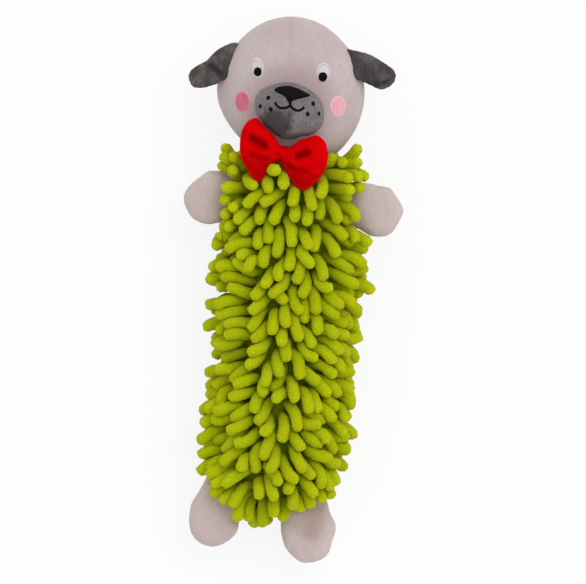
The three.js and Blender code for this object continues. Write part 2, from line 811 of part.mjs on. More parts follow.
function bellows() {
  const low = -squeakerHeight / 2 + squeakerPlate + gap;
  const high = squeakerHeight / 2 - squeakerPlate - gap;
  const outer = squeakerWidth / 2;
  const outside = [];
  for (let at = 0; at <= 2 * bellowsFolds; at += 1) {
    const radius = at % 2 ? outer - bellowsFold : outer;
    outside.push([radius, THREE.MathUtils.lerp(low, high, at / (2 * bellowsFolds))]);
  }
  const inside = outside.map(([radius, height]) => [radius - bellowsWall, height]).reverse();
  return turned([...outside, ...inside]);
}

function valve() {
  const low = -squeakerHeight / 2;
  const tube = disc(valveWidth, low, low + valveLength);
  const flangeLow = low + squeakerPlate + gap;
  const flange = disc(valveFlangeWidth, flangeLow, flangeLow + valveFlange);
  const bore = disc(valveBore, low - overrun, low + valveLength + overrun);
  return tube.add(flange).subtract(bore);
}

function reed() {
  const half = valveBore / 2 * Math.cos(Math.PI / squeakerSides) - gap;
  const low = -squeakerHeight / 2 + squeakerPlate;
  return box(
    new THREE.Vector3(-half, -reedThickness / 2, low),
    new THREE.Vector3(half, reedThickness / 2, low + reedLength));
}

function squeaker() {
  const low = -squeakerHeight / 2;
  const high = squeakerHeight / 2;
  const base = disc(squeakerWidth, low, low + squeakerPlate)
    .subtract(disc(valveWidth + 2 * gap, low - overrun, low + squeakerPlate + overrun));
  const group = new THREE.Group();
  group.name = "squeaker_place";
  group.add(
    meshOf("squeaker_base", base, materials.squeakerPlastic),
    meshOf("squeaker_bellows", bellows(), materials.squeakerPlastic),
    meshOf("squeaker_top", disc(squeakerWidth, high - squeakerPlate, high), materials.squeakerPlastic),
    meshOf("squeaker_valve", valve(), materials.squeakerPlastic),
    meshOf("squeaker_reed", reed(), materials.squeakerPlastic));
  group.position.copy(squeakerCentre);
  return group;
}

// Assembly

const headGroup = new THREE.Group();
headGroup.name = "head_hinge";
headGroup.position.copy(neck);
headGroup.rotation.z = THREE.MathUtils.degToRad(headTurn);
headGroup.add(...headPieces(), ...muzzlePieces(), ...facePieces(), ...bowPieces());
headGroup.add(ear("left", -1), ear("right", 1));

const neckFilling = meshOf("neck_filling", neckForm(0), materials.filling);
neckFilling.position.copy(neck);

const limbGroups = limbs();

// What moves past the noodles: the head with its muzzle and bow, and the limbs
function inPlace(item) {
  const { attributes, index } = item.geometry;
  return moved(solidOf(attributes.position.array, index.array), item.matrixWorld);
}

function movingSweeps() {
  headGroup.updateWorldMatrix(true, true);
  const bow = ["bow_knot", "bow_left_wing", "bow_right_wing"].map((name) => headGroup.getObjectByName(name));
  const head = [headOutside, muzzleForm(0)].map((solid) => moved(solid, headGroup.matrixWorld));
  const whole = wasm.Manifold.union([...head, ...bow.map(inPlace)]);
  const sweeps = [sweptBy(sweptBy(whole, neck, axisZ, tiltRange), neck, axisX, nodRange)];
  for (const group of limbGroups) {
    group.updateWorldMatrix(true, true);
    const limbWhole = wasm.Manifold.union(group.children.map(inPlace));
    const axis = axisY.clone().transformDirection(group.matrixWorld);
    sweeps.push(sweptBy(limbWhole, group.position, axis, limbRange));
  }
  return sweeps;
}

const toy = new THREE.Group();
toy.add(headGroup, neckFilling, ...limbGroups);
toy.add(...noodleCover(movingSweeps()), ...fillingPieces(), squeaker());

// The origin is the middle of the toy's box, on the surface that it lies on
const bounds = new THREE.Box3().setFromObject(toy, true);
const middle = bounds.getCenter(new THREE.Vector3());
toy.position.set(-middle.x, -middle.y, -bounds.min.z);

export default toy;
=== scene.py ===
import json
import math

import bmesh
import bpy
import numpy as np
from mathutils import Matrix, Vector
from mathutils.bvhtree import BVHTree
from mathutils.kdtree import KDTree


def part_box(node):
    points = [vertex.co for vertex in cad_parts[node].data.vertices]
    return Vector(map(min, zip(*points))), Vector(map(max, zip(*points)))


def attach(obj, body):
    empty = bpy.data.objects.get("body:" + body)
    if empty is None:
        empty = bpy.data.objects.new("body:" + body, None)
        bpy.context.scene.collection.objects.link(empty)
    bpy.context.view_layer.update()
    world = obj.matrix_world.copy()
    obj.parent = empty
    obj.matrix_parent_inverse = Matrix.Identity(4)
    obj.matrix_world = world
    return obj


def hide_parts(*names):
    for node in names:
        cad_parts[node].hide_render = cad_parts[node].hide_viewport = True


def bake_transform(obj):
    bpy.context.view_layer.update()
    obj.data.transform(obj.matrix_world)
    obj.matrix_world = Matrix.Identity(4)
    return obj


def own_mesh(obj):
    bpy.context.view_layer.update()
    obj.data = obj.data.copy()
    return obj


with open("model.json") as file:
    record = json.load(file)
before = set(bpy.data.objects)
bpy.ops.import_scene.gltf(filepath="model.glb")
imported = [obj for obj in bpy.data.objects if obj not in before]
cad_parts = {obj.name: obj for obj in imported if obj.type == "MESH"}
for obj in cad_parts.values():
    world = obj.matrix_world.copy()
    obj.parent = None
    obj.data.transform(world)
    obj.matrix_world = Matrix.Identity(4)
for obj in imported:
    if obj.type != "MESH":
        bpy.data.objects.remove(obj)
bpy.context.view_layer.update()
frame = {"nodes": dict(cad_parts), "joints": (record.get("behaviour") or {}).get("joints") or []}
print("frame loaded:", len(frame["nodes"]), "nodes")

# Plush dog toy on its back. Sizes in the settings are in millimetres, the scene is in metres.
mm = 0.001
photo = {"mmPerPixel": 0.6216, "middleX": 292.4, "middleY": 289.9}
neckAt = np.array([-1.5, 81.35, 32.0])


def onPhoto(x, y):  # a place measured on the photograph, in millimetres of the toy
    scale = photo["mmPerPixel"]
    return np.array([(x - photo["middleX"]) * scale, (photo["middleY"] - y) * scale])


def traced(places):
    return np.array([onPhoto(*place) for place in places])


def tint(red, green, blue):  # a colour as it looks on screen, as light
    def light(value):
        value /= 255
        return value / 12.92 if value <= 0.04045 else ((value + 0.055) / 1.055) ** 2.4
    return (light(red), light(green), light(blue), 1.0)


# Nodes and their sums

class Wire:
    def __init__(self, nodes, socket):
        self.nodes = nodes
        self.socket = socket

    def sum(self, operation, first, second):
        return self.nodes.node("ShaderNodeMath", {"operation": operation}, [first, second])

    def __add__(self, other):
        return self.sum("ADD", self, other)

    def __radd__(self, other):
        return self.sum("ADD", other, self)

    def __sub__(self, other):
        return self.sum("SUBTRACT", self, other)

    def __rsub__(self, other):
        return self.sum("SUBTRACT", other, self)

    def __mul__(self, other):
        return self.sum("MULTIPLY", self, other)

    def __rmul__(self, other):
        return self.sum("MULTIPLY", other, self)


class Nodes:
    def __init__(self, tree):
        self.tree = tree

    def feed(self, socket, value):
        if isinstance(value, Wire):
            self.tree.links.new(value.socket, socket)
        else:
            socket.default_value = value

    def node(self, kind, settings=None, inputs=(), output=0):
        made = self.tree.nodes.new(kind)
        for key, value in (settings or {}).items():
            if key == "stops":
                ramp = made.color_ramp.elements
                for stop, (place, colour) in zip(ramp, value):
                    stop.position, stop.color = place, colour
            else:
                setattr(made, key, value)
        for key, value in (inputs.items() if isinstance(inputs, dict) else enumerate(inputs)):
            self.feed(made.inputs[key], value)
        return Wire(self, made.outputs[output]) if len(made.outputs) else made


class Finish(Nodes):
    def __init__(self, name, roughness, sheen=0.0, sheenTint=(1, 1, 1, 1), sheenRoughness=0.5, specular=0.15):
        self.material = bpy.data.materials.new(name)
        self.material.use_nodes = True
        super().__init__(self.material.node_tree)
        self.shader = self.tree.nodes["Principled BSDF"]
        for socket, value in {"Roughness": roughness, "Specular IOR Level": specular, "Sheen Weight": sheen,
                              "Sheen Roughness": sheenRoughness, "Sheen Tint": sheenTint}.items():
            self.shader.inputs[socket].default_value = value

    def place(self, scale=(1, 1, 1), turn=0, shift=(0, 0, 0)):  # object coordinates, turned and stretched
        source = self.node("ShaderNodeTexCoord", output="Object")
        return self.node("ShaderNodeMapping", {}, {
            "Vector": source, "Location": shift, "Rotation": (0, 0, math.radians(turn)), "Scale": scale})

    def noise(self, vector, scale, detail=2.0, roughness=0.5):
        return self.node("ShaderNodeTexNoise", {}, {
            "Vector": vector, "Scale": scale, "Detail": detail, "Roughness": roughness})

    def attribute(self, name):
        return self.node("ShaderNodeAttribute", {"attribute_name": name}, output="Fac")

    def far(self, **place):  # how far a point lies from the middle of the given place
        settings = {"operation": "LENGTH"}
        return self.node("ShaderNodeVectorMath", settings, [self.place(**place)], output="Value")

    def mix(self, factor, first, second):
        return self.node("ShaderNodeMix", {"data_type": "RGBA"}, {0: factor, 6: first, 7: second}, output=2)

    def ramp(self, factor, low, high, dark=0.0, bright=1.0):
        grey = [(low, (dark, dark, dark, 1)), (high, (bright, bright, bright, 1))]
        return self.node("ShaderNodeValToRGB", {"stops": grey}, [factor])

    def bump(self, height, strength, distance, below=None):
        inputs = {"Height": height, "Strength": strength, "Distance": distance}
        return self.node("ShaderNodeBump", {}, inputs if below is None else {**inputs, "Normal": below})

    def set(self, colour, normal, **others):
        for socket, value in {"Base Color": colour, "Normal": normal, **others}.items():
            self.feed(self.shader.inputs[socket], value)
        return self.material


# Finishes

def plush(name, settings):
    finish = Finish(name, *(settings[key] for key in ("roughness", "sheen", "sheenTint", "sheenRoughness")))
    streak, turn = settings["streak"], settings["pileTurn"]
    along = finish.place(scale=(1, streak, 1), turn=turn)
    pile = finish.noise(along, settings["pileScale"], 3, 0.6)
    fine = finish.noise(along, settings["pileScale"] * 2.6, 2, 0.6)
    nap = finish.noise(finish.place(scale=(1, 0.5 + streak / 2, 1), turn=turn), settings["napScale"], 3, 0.5)
    colour = finish.mix(finish.ramp(nap, *settings["napSpan"]), settings["colour"], settings["napColour"])
    streaks = finish.ramp(pile, 0.35, 0.7, 0, settings["streakDepth"])
    colour = finish.mix(streaks, colour, settings["darkColour"])
    # painted shade in the dents: the folds, the seam grooves and the dart, and on arms and feet the noodles'
    # shadow
    colour = finish.mix(finish.attribute("foldShade") * settings["foldShadeDepth"], colour, settings["foldShadeColour"])
    if "muzzleShadeAt" in settings:  # painted shade on the head round the muzzle, where the muzzle shades it
        out = finish.far(shift=[-at * mm for at in settings["muzzleShadeAt"]])
        near = finish.ramp(out, settings["muzzleShadeNear"] * mm, settings["muzzleShadeFar"] * mm, settings["muzzleShadeDepth"], 0)
        colour = finish.mix(near, colour, settings["muzzleShadeColour"])
    if "cleftShadeAt" in settings:  # painted shade on the lower left of the muzzle, the dark side of the cleft under the mouth
        squash = [1 / (half * mm) for half in settings["cleftShadeHalf"]]
        shift = [-at * mm * each for at, each in zip(settings["cleftShadeAt"], squash)]
        out = finish.far(scale=squash, shift=shift)
        ragged = out * 0.5 + finish.noise(finish.place(), 260, 3, 0.6) * 0.6
        colour = finish.mix(finish.ramp(ragged, 0.7, 0.92, 0.85, 0), colour, settings["cleftShadeColour"])
    if "rimColour" in settings:  # the pile stands ragged over the seam
        ragged = finish.attribute("seamRim") * 0.9 + finish.noise(finish.place(), 480, 3, 0.6) * 0.16
        colour = finish.mix(finish.ramp(ragged, 0.9, 0.985, 0, 0.85), colour, settings["rimColour"])
    height = finish.bump(pile, settings["bump"], 0.0006)
    return finish.set(colour, finish.bump(fine, settings["fineBump"], 0.0003, height))


shortPile = {"roughness": 0.95, "sheen": 0.2, "sheenTint": tint(236, 214, 214), "sheenRoughness": 0.45,
             "pileScale": 760, "napSpan": (0.38, 0.62), "fineBump": 0.35}
palePlush = plush("pale plush", {
    **shortPile, "colour": tint(197, 181, 182), "napColour": tint(206, 191, 191),
    "darkColour": tint(174, 157, 159), "foldShadeColour": tint(150, 128, 126), "foldShadeDepth": 0.5,
    "pileTurn": 0, "streak": 0.22, "streakDepth": 0.4, "napScale": 38, "bump": 0.35,
    # the darker colour round the muzzle is painted shade
    "muzzleShadeAt": (-1.5, 113, 62), "muzzleShadeNear": 20, "muzzleShadeFar": 34, "muzzleShadeDepth": 0.6,
    "muzzleShadeColour": tint(170, 144, 147)})
limbPlush = plush("limb plush", {
    **shortPile, "colour": tint(208, 191, 189), "napColour": tint(216, 200, 198),
    "darkColour": tint(184, 162, 161), "foldShadeColour": tint(160, 137, 132), "foldShadeDepth": 0.65,
    "pileTurn": 84, "streak": 0.26, "streakDepth": 0.34, "napScale": 45, "bump": 0.4})
# the ears' lighter nap patches are painted sheen, where the crushed pile catches the light; they lie at
# random
darkPlush = plush("dark plush", {
    **shortPile, "colour": tint(74, 68, 68), "napColour": tint(118, 112, 109), "darkColour": tint(50, 45, 46),
    "foldShadeColour": tint(34, 29, 30), "foldShadeDepth": 0.7,
    "roughness": 0.9, "sheen": 0.25, "sheenTint": tint(190, 186, 184), "sheenRoughness": 0.35,
    "pileScale": 620, "pileTurn": -28, "streak": 0.3, "streakDepth": 0.6, "napScale": 120,
    "napSpan": (0.36, 0.74), "bump": 0.5})
muzzlePlush = plush("muzzle plush", {
    **shortPile, "colour": tint(128, 121, 122), "napColour": tint(150, 142, 142),
    "darkColour": tint(84, 76, 78), "foldShadeColour": tint(66, 58, 60), "foldShadeDepth": 0.55,
    "sheenTint": tint(180, 175, 176), "pileScale": 900,
    "pileTurn": 8, "streak": 0.7, "streakDepth": 0.75, "napScale": 70, "napSpan": (0.4, 0.66),
    "bump": 0.55, "fineBump": 0.4,
    # the dark patch beside the cleft under the mouth is painted shade
    "cleftShadeAt": (-10.5, 102.6, 70), "cleftShadeHalf": (9.2, 9.4, 30), "cleftShadeColour": tint(64, 56, 57),
    "rimColour": tint(168, 151, 154)})


def fleece(name, settings):
    finish = Finish(name, 0.95, settings["sheen"], settings["sheenTint"], specular=0.02)
    patches = finish.noise(finish.place(), 150, 2, 0.5)
    fibres = finish.noise(finish.place(scale=(1, 0.6, 1)), 1500, 3, 0.65)
    colour = finish.mix(finish.ramp(patches, 0.4, 0.65), settings["colour"], settings["napColour"])
    colour = finish.mix(finish.ramp(fibres, 0.4, 0.75, 0, 0.45), colour, settings["darkColour"])
    # painted shade in the bow's folds and over its lower half
    colour = finish.mix(finish.attribute("foldShade") * 0.75, colour, settings["foldShadeColour"])
    return finish.set(colour, finish.bump(fibres, settings["bump"], 0.0004))


redFelt = fleece("red felt", {
    "colour": tint(218, 0, 4), "napColour": tint(234, 2, 8), "darkColour": tint(160, 0, 4),
    "foldShadeColour": tint(112, 0, 0), "sheen": 0, "sheenTint": tint(255, 60, 50), "bump": 0.4})
greenCloth = fleece("green base cloth", {
    "colour": tint(112, 124, 5), "napColour": tint(128, 140, 6), "darkColour": tint(84, 94, 4),
    "foldShadeColour": tint(56, 64, 4), "sheen": 0.1, "sheenTint": tint(200, 210, 90), "bump": 0.5})


def thread(name, settings):  # satin stitch: threads laid side by side, with a row round the rim
    finish = Finish(name, settings["roughness"], settings["sheen"], settings["lightColour"], 0.4)
    rows = finish.node("ShaderNodeTexWave", {"wave_type": "BANDS", "bands_direction": "X"}, {
        "Vector": finish.place(turn=settings["laidTurn"]), "Scale": settings["rowScale"],
        "Distortion": 1.2, "Detail": 2.0, "Detail Scale": 3.0})
    rows = finish.node("ShaderNodeSeparateColor", {}, [rows])
    spread = finish.noise(finish.place(), 260, 2, 0.5)
    colour = finish.mix(rows * settings["rowDepth"], settings["colour"], settings["darkColour"])
    colour = finish.mix(finish.ramp(spread, 0.35, 0.7, 0, 0.5), colour, settings["lightColour"])
    if "rimColour" in settings:
        rim = finish.attribute("patchRim")
        low, high, rimEnd = settings["rimSpan"]
        band = finish.ramp(rim, low, high)
        if rimEnd < 1:
            band = band * finish.ramp(rim, rimEnd, rimEnd + high - low, 1, 0)
        colour = finish.mix(band * settings["rimDepth"], colour, settings["rimColour"])
    return finish.set(colour, finish.bump(rows, 0.5, 0.0002))


blackThread = thread("black thread", {
    "colour": tint(10, 5, 9), "lightColour": tint(24, 17, 22), "darkColour": tint(4, 2, 4),
    "roughness": 0.9, "sheen": 0, "laidTurn": 90, "rowScale": 620, "rowDepth": 0.6})
whiteThread = thread("white thread", {
    "colour": tint(222, 214, 217), "lightColour": tint(234, 229, 231), "darkColour": tint(200, 190, 195),
    "roughness": 0.7, "sheen": 0.1, "laidTurn": 70, "rowScale": 520, "rowDepth": 0.55,
    "rimColour": tint(172, 163, 175), "rimSpan": (0.66, 0.71, 0.78), "rimDepth": 0.6})
pinkSatin = {"roughness": 0.7, "sheen": 0.1, "rowScale": 420, "rowDepth": 0.7, "rimSpan": (0.8, 0.88, 1)}
pinkThread = thread("pink thread", {
    **pinkSatin, "colour": tint(244, 176, 187), "lightColour": tint(248, 194, 203),
    "darkColour": tint(232, 154, 170), "laidTurn": 4, "rimColour": tint(248, 204, 210), "rimDepth": 0.75})
rosePinkThread = thread("deep pink thread", {
    **pinkSatin, "colour": tint(214, 116, 138), "lightColour": tint(224, 138, 154),
    "darkColour": tint(196, 96, 122), "laidTurn": -4, "rimColour": tint(236, 168, 178), "rimDepth": 0.8})


def chenillePile(settings):
    finish = Finish("green chenille", 1.0, 0.12, tint(215, 225, 60))
    along = finish.attribute("noodleAlong")
    clumps = finish.noise(finish.place(), settings["pileScale"], 3, 0.6)
    ribs = finish.node("ShaderNodeMath", {"operation": "SINE"}, [
        along * (settings["ribScale"] * math.tau) + clumps * 6.0])
    ribs = ribs * 0.5 + 0.5
    # darker towards the root and lighter at the tip: painted shade where the noodles crowd at their roots,
    # painted light on their tips
    colour = finish.mix(finish.ramp(along, 0.2, 0.7), settings["rootShadeColour"], settings["colour"])
    colour = finish.mix(finish.ramp(along, 0.6, 1.0, 0, 0.8), colour, settings["tipLitColour"])
    pits = finish.ramp(clumps * 0.85 + ribs * 0.15, 0.38, 0.62, 0.6, 0)
    colour = finish.mix(pits, colour, settings["darkColour"])
    colour = finish.mix(finish.attribute("noodleShade") * 0.25, colour, settings["darkColour"])
    fine = finish.noise(finish.place(), 2400, 2, 0.6)
    rough = finish.bump(clumps * 0.8 + ribs * 0.2, 0.6, 0.0008)
    return finish.set(colour, finish.bump(fine, 0.35, 0.0003, rough))


greenChenille = chenillePile({
    # the root colour is painted shade, the tip colour painted light
    "colour": tint(189, 200, 2), "tipLitColour": tint(210, 218, 12), "rootShadeColour": tint(148, 162, 4),
    "darkColour": tint(148, 158, 2), "ribScale": 21.0, "pileScale": 900})


def mouldedPlastic():
    finish = Finish("squeaker plastic", 0.42)
    cloud = finish.noise(finish.place(), 120, 2, 0.5)
    skin = finish.noise(finish.place(), 1400, 2, 0.5)
    colour = finish.mix(finish.ramp(cloud, 0.3, 0.7), tint(236, 233, 222), tint(226, 222, 208))
    rough = finish.ramp(cloud, 0.3, 0.7, 0.36, 0.5)
    return finish.set(colour, finish.bump(skin, 0.15, 0.0002), Roughness=rough)


squeakerPlastic = mouldedPlastic()
for node in ("squeaker_base", "squeaker_top", "squeaker_valve", "squeaker_reed"):
    frame["nodes"][node].data.materials.clear()
    frame["nodes"][node].data.materials.append(squeakerPlastic)
print("finishes made")


# Mesh helpers

def pieceFrom(name, points, faces, material, scale=mm):
    mesh = bpy.data.meshes.new(name)
    mesh.from_pydata([tuple(float(value) * scale for value in point) for point in points], [], faces)
    mesh.validate()
    built = bmesh.new()
    built.from_mesh(mesh)
    bmesh.ops.recalc_face_normals(built, faces=built.faces)
    built.to_mesh(mesh)
    built.free()
    mesh.materials.append(material)
    mesh.polygons.foreach_set("use_smooth", [True] * len(mesh.polygons))
    piece = bpy.data.objects.new(name, mesh)
    bpy.context.scene.collection.objects.link(piece)
    return piece


def belongs(piece, body, nodes):  # the body it rides on, the solids it stands for
    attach(piece, body)
    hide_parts(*nodes)
    return piece


def read(mesh, what="co"):
    found = np.zeros(len(mesh.vertices) * 3)
    mesh.vertices.foreach_get(what, found)
    return found.reshape(-1, 3)


def moveTo(piece, points):
    piece.data.vertices.foreach_set("co", np.asarray(points, float).ravel())
    piece.data.update()


def paint(mesh, name, values):  # a value on each point, for its finish
    mesh.attributes.new(name, "FLOAT", "POINT").data.foreach_set("value", np.asarray(values, np.float32))


def evaluated(piece):
    return piece.evaluated_get(bpy.context.evaluated_depsgraph_get())


def bake(piece):  # the modifiers' result becomes the piece's own mesh
    mesh = bpy.data.meshes.new_from_object(evaluated(piece))
    piece.modifiers.clear()
    piece.data = mesh
    mesh.polygons.foreach_set("use_smooth", [True] * len(mesh.polygons))
    return piece


def surfaceOf(piece):
    return BVHTree.FromObject(piece, bpy.context.evaluated_depsgraph_get())


def blownUp(piece, settings):  # cloth with its seam held where it was sewn, swollen by the pressure inside
    start = read(piece.data)
    cloth = piece.modifiers.new("filling", "CLOTH")
    if "seam" in settings:
        held = piece.vertex_groups.new(name="held")
        near = np.abs(settings["seam"](start / mm)) < settings["voxel"] * 0.6
        held.add([int(at) for at in np.nonzero(near)[0]], 1.0, "REPLACE")
        cloth.settings.vertex_group_mass = "held"
    felt = {"quality": 4, "mass": 0.2, "tension_stiffness": 12, "compression_stiffness": 12,
            "bending_stiffness": settings.get("bending", 0.4), "use_pressure": True,
            "uniform_pressure_force": settings["pressure"], "shrink_min": -settings["slack"]}
    for key, value in felt.items():
        setattr(cloth.settings, key, value)
    cloth.settings.effector_weights.gravity = 0
    frames = 20
    cloth.point_cache.frame_end = frames
    for at in range(1, frames + 1):
        bpy.context.scene.frame_set(at)
    end = read(bpy.data.meshes.new_from_object(evaluated(piece)))
    piece.modifiers.clear()
    piece.vertex_groups.clear()
    bpy.context.scene.frame_set(1)
    step = end - start
    far = np.maximum(np.linalg.norm(step, axis=1, keepdims=True), 1e-9)
    moveTo(piece, start + step * np.minimum(1, settings["cap"] * mm / far))


def stuffed(piece, settings):
    voxel = piece.modifiers.new("weave", "REMESH")
    voxel.mode, voxel.voxel_size = "VOXEL", settings["voxel"] * mm
    bake(piece)
    blownUp(piece, settings)
    smoother = piece.modifiers.new("smoother", "SUBSURF")
    smoother.levels = smoother.render_levels = settings["levels"]
    return bake(piece)


def dent(piece, depthAt):  # pushes the surface in along its normal by a depth in millimetres
    points = read(piece.data)
    depth = depthAt(points / mm)
    moveTo(piece, points - read(piece.data, "normal") * depth[:, None] * mm)
    # the deeper the dent, the darker its finish paints it: painted shade
    paint(piece.data, "foldShade", depth / max(depth.max(), 1e-6))


def bell(value, width):
    return np.exp(-(value / width) ** 2)


def smoothStep(value, low, high):
    t = np.clip((value - low) / (high - low), 0, 1)
    return t * t * (3 - 2 * t)


def travel(line):  # how far along the line each of its points lies
    return np.concatenate([[0], np.cumsum(np.linalg.norm(np.diff(line, axis=0), axis=1))])


def creases(points, lines):  # how deep the cloth is folded in along drawn lines: (places, depth, width)
    depth = np.zeros(len(points))
    for places, deep, width in lines:
        line = traced(places)
        run = travel(line)
        nearest, along = np.full(len(points), 1e9), np.zeros(len(points))
        for a, b, start, end in zip(line[:-1], line[1:], run[:-1], run[1:]):
            share = np.clip((points[:, :2] - a) @ (b - a) / ((b - a) @ (b - a)), 0, 1)
            away = np.linalg.norm(points[:, :2] - a - share[:, None] * (b - a), axis=1)
            along = np.where(away < nearest, (start + share * (end - start)) / run[-1], along)
            nearest = np.minimum(nearest, away)
        fade = np.clip(6 * along * (1 - along), 0.25, 1)  # a fold runs out at its ends
        depth = np.maximum(depth, deep * fade * bell(nearest, width))
    return depth


def ballOf(name, centre, half, shape, material, divisions=4):
    built = bmesh.new()
    bmesh.ops.create_icosphere(built, subdivisions=divisions, radius=1)
    ways = np.array([vertex.co for vertex in built.verts])
    faces = [[vertex.index for vertex in face.verts] for face in built.faces]
    built.free()
    return pieceFrom(name, shape(ways) * np.array(half) + np.array(centre), faces, material)


def between(a, b, c, d, t):  # a smooth line from b to c
    return 0.5 * (2 * b + (c - a) * t + (2 * a - 5 * b + 4 * c - d) * t ** 2
                  + (3 * b - a - 3 * c + d) * t ** 3)


def rounded(outline, cuts):  # a smooth closed line through the points
    count = len(outline)
    return np.array([between(*(outline[(at + step) % count] for step in (-1, 0, 1, 2)), cut / cuts)
                     for at in range(count) for cut in range(cuts)])


def bandFaces(rings, count, first=0):  # the quads between rings of points
    return [[first + ring * count + at, first + ring * count + (at + 1) % count,
             first + (ring + 1) * count + (at + 1) % count, first + (ring + 1) * count + at]
            for ring in range(rings - 1) for at in range(count)]


def fanFaces(first, count, middle):
    return [[first + at, first + (at + 1) % count, middle] for at in range(count)]


# Head

headSettings = {
    "centre": (-1.06, 123.1, 32.5), "half": (46.4, 47.4, 32.6), "chinShare": 0.13, "chinShift": 6,
    "crownShare": 0.06,
    "sewing": {"voxel": 3.2, "pressure": 3, "cap": 0.9, "levels": 2, "slack": 0.01, "bending": 0.8},
    "seamDepth": 0.7, "seamWidth": 1.1, "dartDepth": 0.25, "dartWidth": 1.2, "restCut": 0.3,
    "dartStart": 18, "dartFade": 14}
headCentre = np.array(headSettings["centre"], float)


def headShape(ways):  # narrower at the crown and towards the chin, which sits a little to the right
    shaped = ways.copy()
    low, high = np.clip(-ways[:, 1], 0, 1), np.clip(ways[:, 1], 0, 1)
    shaped[:, 0] *= 1 - headSettings["chinShare"] * low ** 1.6
    shaped[:, 0] *= 1 - headSettings["crownShare"] * smoothStep(high, 0.2, 0.8)
    shaped[:, 0] += headSettings["chinShift"] / headSettings["half"][0] * low ** 1.5
    return shaped


def headCover():
    settings = headSettings
    head = ballOf("head_cover", headCentre, np.array(settings["half"]) - 0.5, headShape, palePlush, 5)
    stuffed(head, dict(settings["sewing"], seam=lambda points: points[:, 2] - headCentre[2]))

    def grooves(points):
        across, up, out = (points - headCentre).T
        side = bell(out, settings["seamWidth"]) * settings["seamDepth"]
        isTop = np.clip((up - settings["dartStart"]) / settings["dartFade"], 0, 1) * (out > 0)
        return side + bell(across, settings["dartWidth"]) * settings["dartDepth"] * isTop

    dent(head, grooves)
    points = read(head.data)
    points[:, 2] = np.maximum(points[:, 2], settings["restCut"] * mm)
    moveTo(head, points)
    return belongs(head, "head", ["head_front_cover", "head_back_cover", "head_filling"])


head = headCover()
headSurface = surfaceOf(head)
print("head stuffed:", len(head.data.polygons), "faces")


# Muzzle

muzzleSettings = {
    "middle": (289.3, 110.5), "height": 58, "deep": 21.4, "half": (22.2, 19.9, 21.4),
    "outline": [
        (265.9, 86), (275.5, 82.6), (289.6, 81), (302.6, 84.6), (312.5, 90.4), (320.3, 97.6),
        (324.4, 106.5), (325, 117.5), (322.8, 126.4), (316.6, 133.4), (302.2, 138.2), (288.4, 140.6),
        (278.6, 137.8), (268, 129.8), (260, 121.5), (255, 112.5), (253, 104.6), (254.6, 96.6), (258.8, 90.4)],
    "sewing": {"voxel": 1.8, "pressure": 3, "cap": 0.7, "levels": 1, "slack": 0.01, "bending": 0.5},
    "folds": [
        ([(289.5, 108.5), (289, 118), (288, 128), (286.5, 136)], 1.5, 2.2),
        ([(281, 135), (296, 138), (310, 134.5)], 0.9, 1.8)],
    "crisp": (-16, 4)}
muzzleCentre = np.array([*onPhoto(*muzzleSettings["middle"]), muzzleSettings["height"]])


def muzzleReach(ways):  # how far from the middle the sewn outline lies, each way
    line = traced(muzzleSettings["outline"]) - muzzleCentre[:2]
    angle, reach = np.arctan2(line[:, 1], line[:, 0]), np.linalg.norm(line, axis=1)
    order = np.argsort(angle)
    return np.interp(np.arctan2(ways[:, 1], ways[:, 0]), angle[order], reach[order], period=math.tau)


def muzzleShape(ways):  # seen from the front it keeps to the sewn outline
    out = np.linalg.norm(ways[:, :2], axis=1, keepdims=True)
    shaped = ways.copy()
    shaped[:, :2] = ways[:, :2] / np.maximum(out, 1e-9) * out ** 0.9 * (muzzleReach(ways)[:, None] - 0.6)
    shaped[:, 2] *= muzzleSettings["deep"] - 0.4
    return shaped


def muzzleCover():
    muzzle = ballOf("muzzle_cover_plush", muzzleCentre, (1, 1, 1), muzzleShape, muzzlePlush, 5)
    stuffed(muzzle, muzzleSettings["sewing"])
    dent(muzzle, lambda points: creases(points, muzzleSettings["folds"]) * (points[:, 2] > muzzleCentre[2]))
    away = read(muzzle.data) / mm - muzzleCentre
    crisp = 0.1 * (1 - smoothStep(away[:, 1], *muzzleSettings["crisp"]))  # under the chin the seam shows
    paint(muzzle.data, "seamRim", np.linalg.norm(away[:, :2], axis=1) / muzzleReach(away) - crisp)
    return belongs(muzzle, "head", ["muzzle_cover", "muzzle_filling"])


muzzle = muzzleCover()
muzzleSurface = surfaceOf(muzzle)
print("muzzle stuffed:", len(muzzle.data.polygons), "faces")


# Embroidery on the face

def heightOn(surfaces, place):  # the cloth's height under a place, in millimetres, and which way it faces
    above, down = Vector((place[0] * mm, place[1] * mm, 0.2)), Vector((0, 0, -1))
    hits = [surface.ray_cast(above, down) for surface in surfaces]
    top = max((hit for hit in hits if hit[0] is not None), key=lambda hit: hit[0].z)
    return top[0].z / mm, np.array(top[1])


def stitchedPatch(name, outline, surfaces, material, height, node, sink=0.6):
    rings = [(1, -sink), (1, 0), (0.97, 0.55), (0.9, 0.85), (0.72, 1), (0.48, 1), (0.24, 1)]
    middle, count = np.mean(outline, axis=0), len(outline)
    points, rims = [], []
    for share, rise in rings + [(0, 1)]:
        for corner in (outline if share > 0 else [middle]):
            rims.append(share)
            place = middle + (corner - middle) * share
            z, normal = heightOn(surfaces, place)
            points.append(np.array([*place, z]) + normal * (rise * height if rise > 0 else rise))
    last = (len(rings) - 1) * count
    faces = bandFaces(len(rings), count) + fanFaces(last, count, len(points) - 1) + [list(range(count))[::-1]]
    patch = pieceFrom(name, points, faces, material)
    paint(patch.data, "patchRim", rims)
    return belongs(patch, "head", [node])


def ovalLine(x, y, width, height, turn=0.0, sides=28):
    angle = np.linspace(0, 2 * math.pi, sides, endpoint=False)
    across, up = np.cos(angle) * width / 2, np.sin(angle) * height / 2
    centre, turn = onPhoto(x, y), math.radians(turn)
    return np.stack([centre[0] + across * math.cos(turn) - up * math.sin(turn),
                     centre[1] + across * math.sin(turn) + up * math.cos(turn)], axis=1)


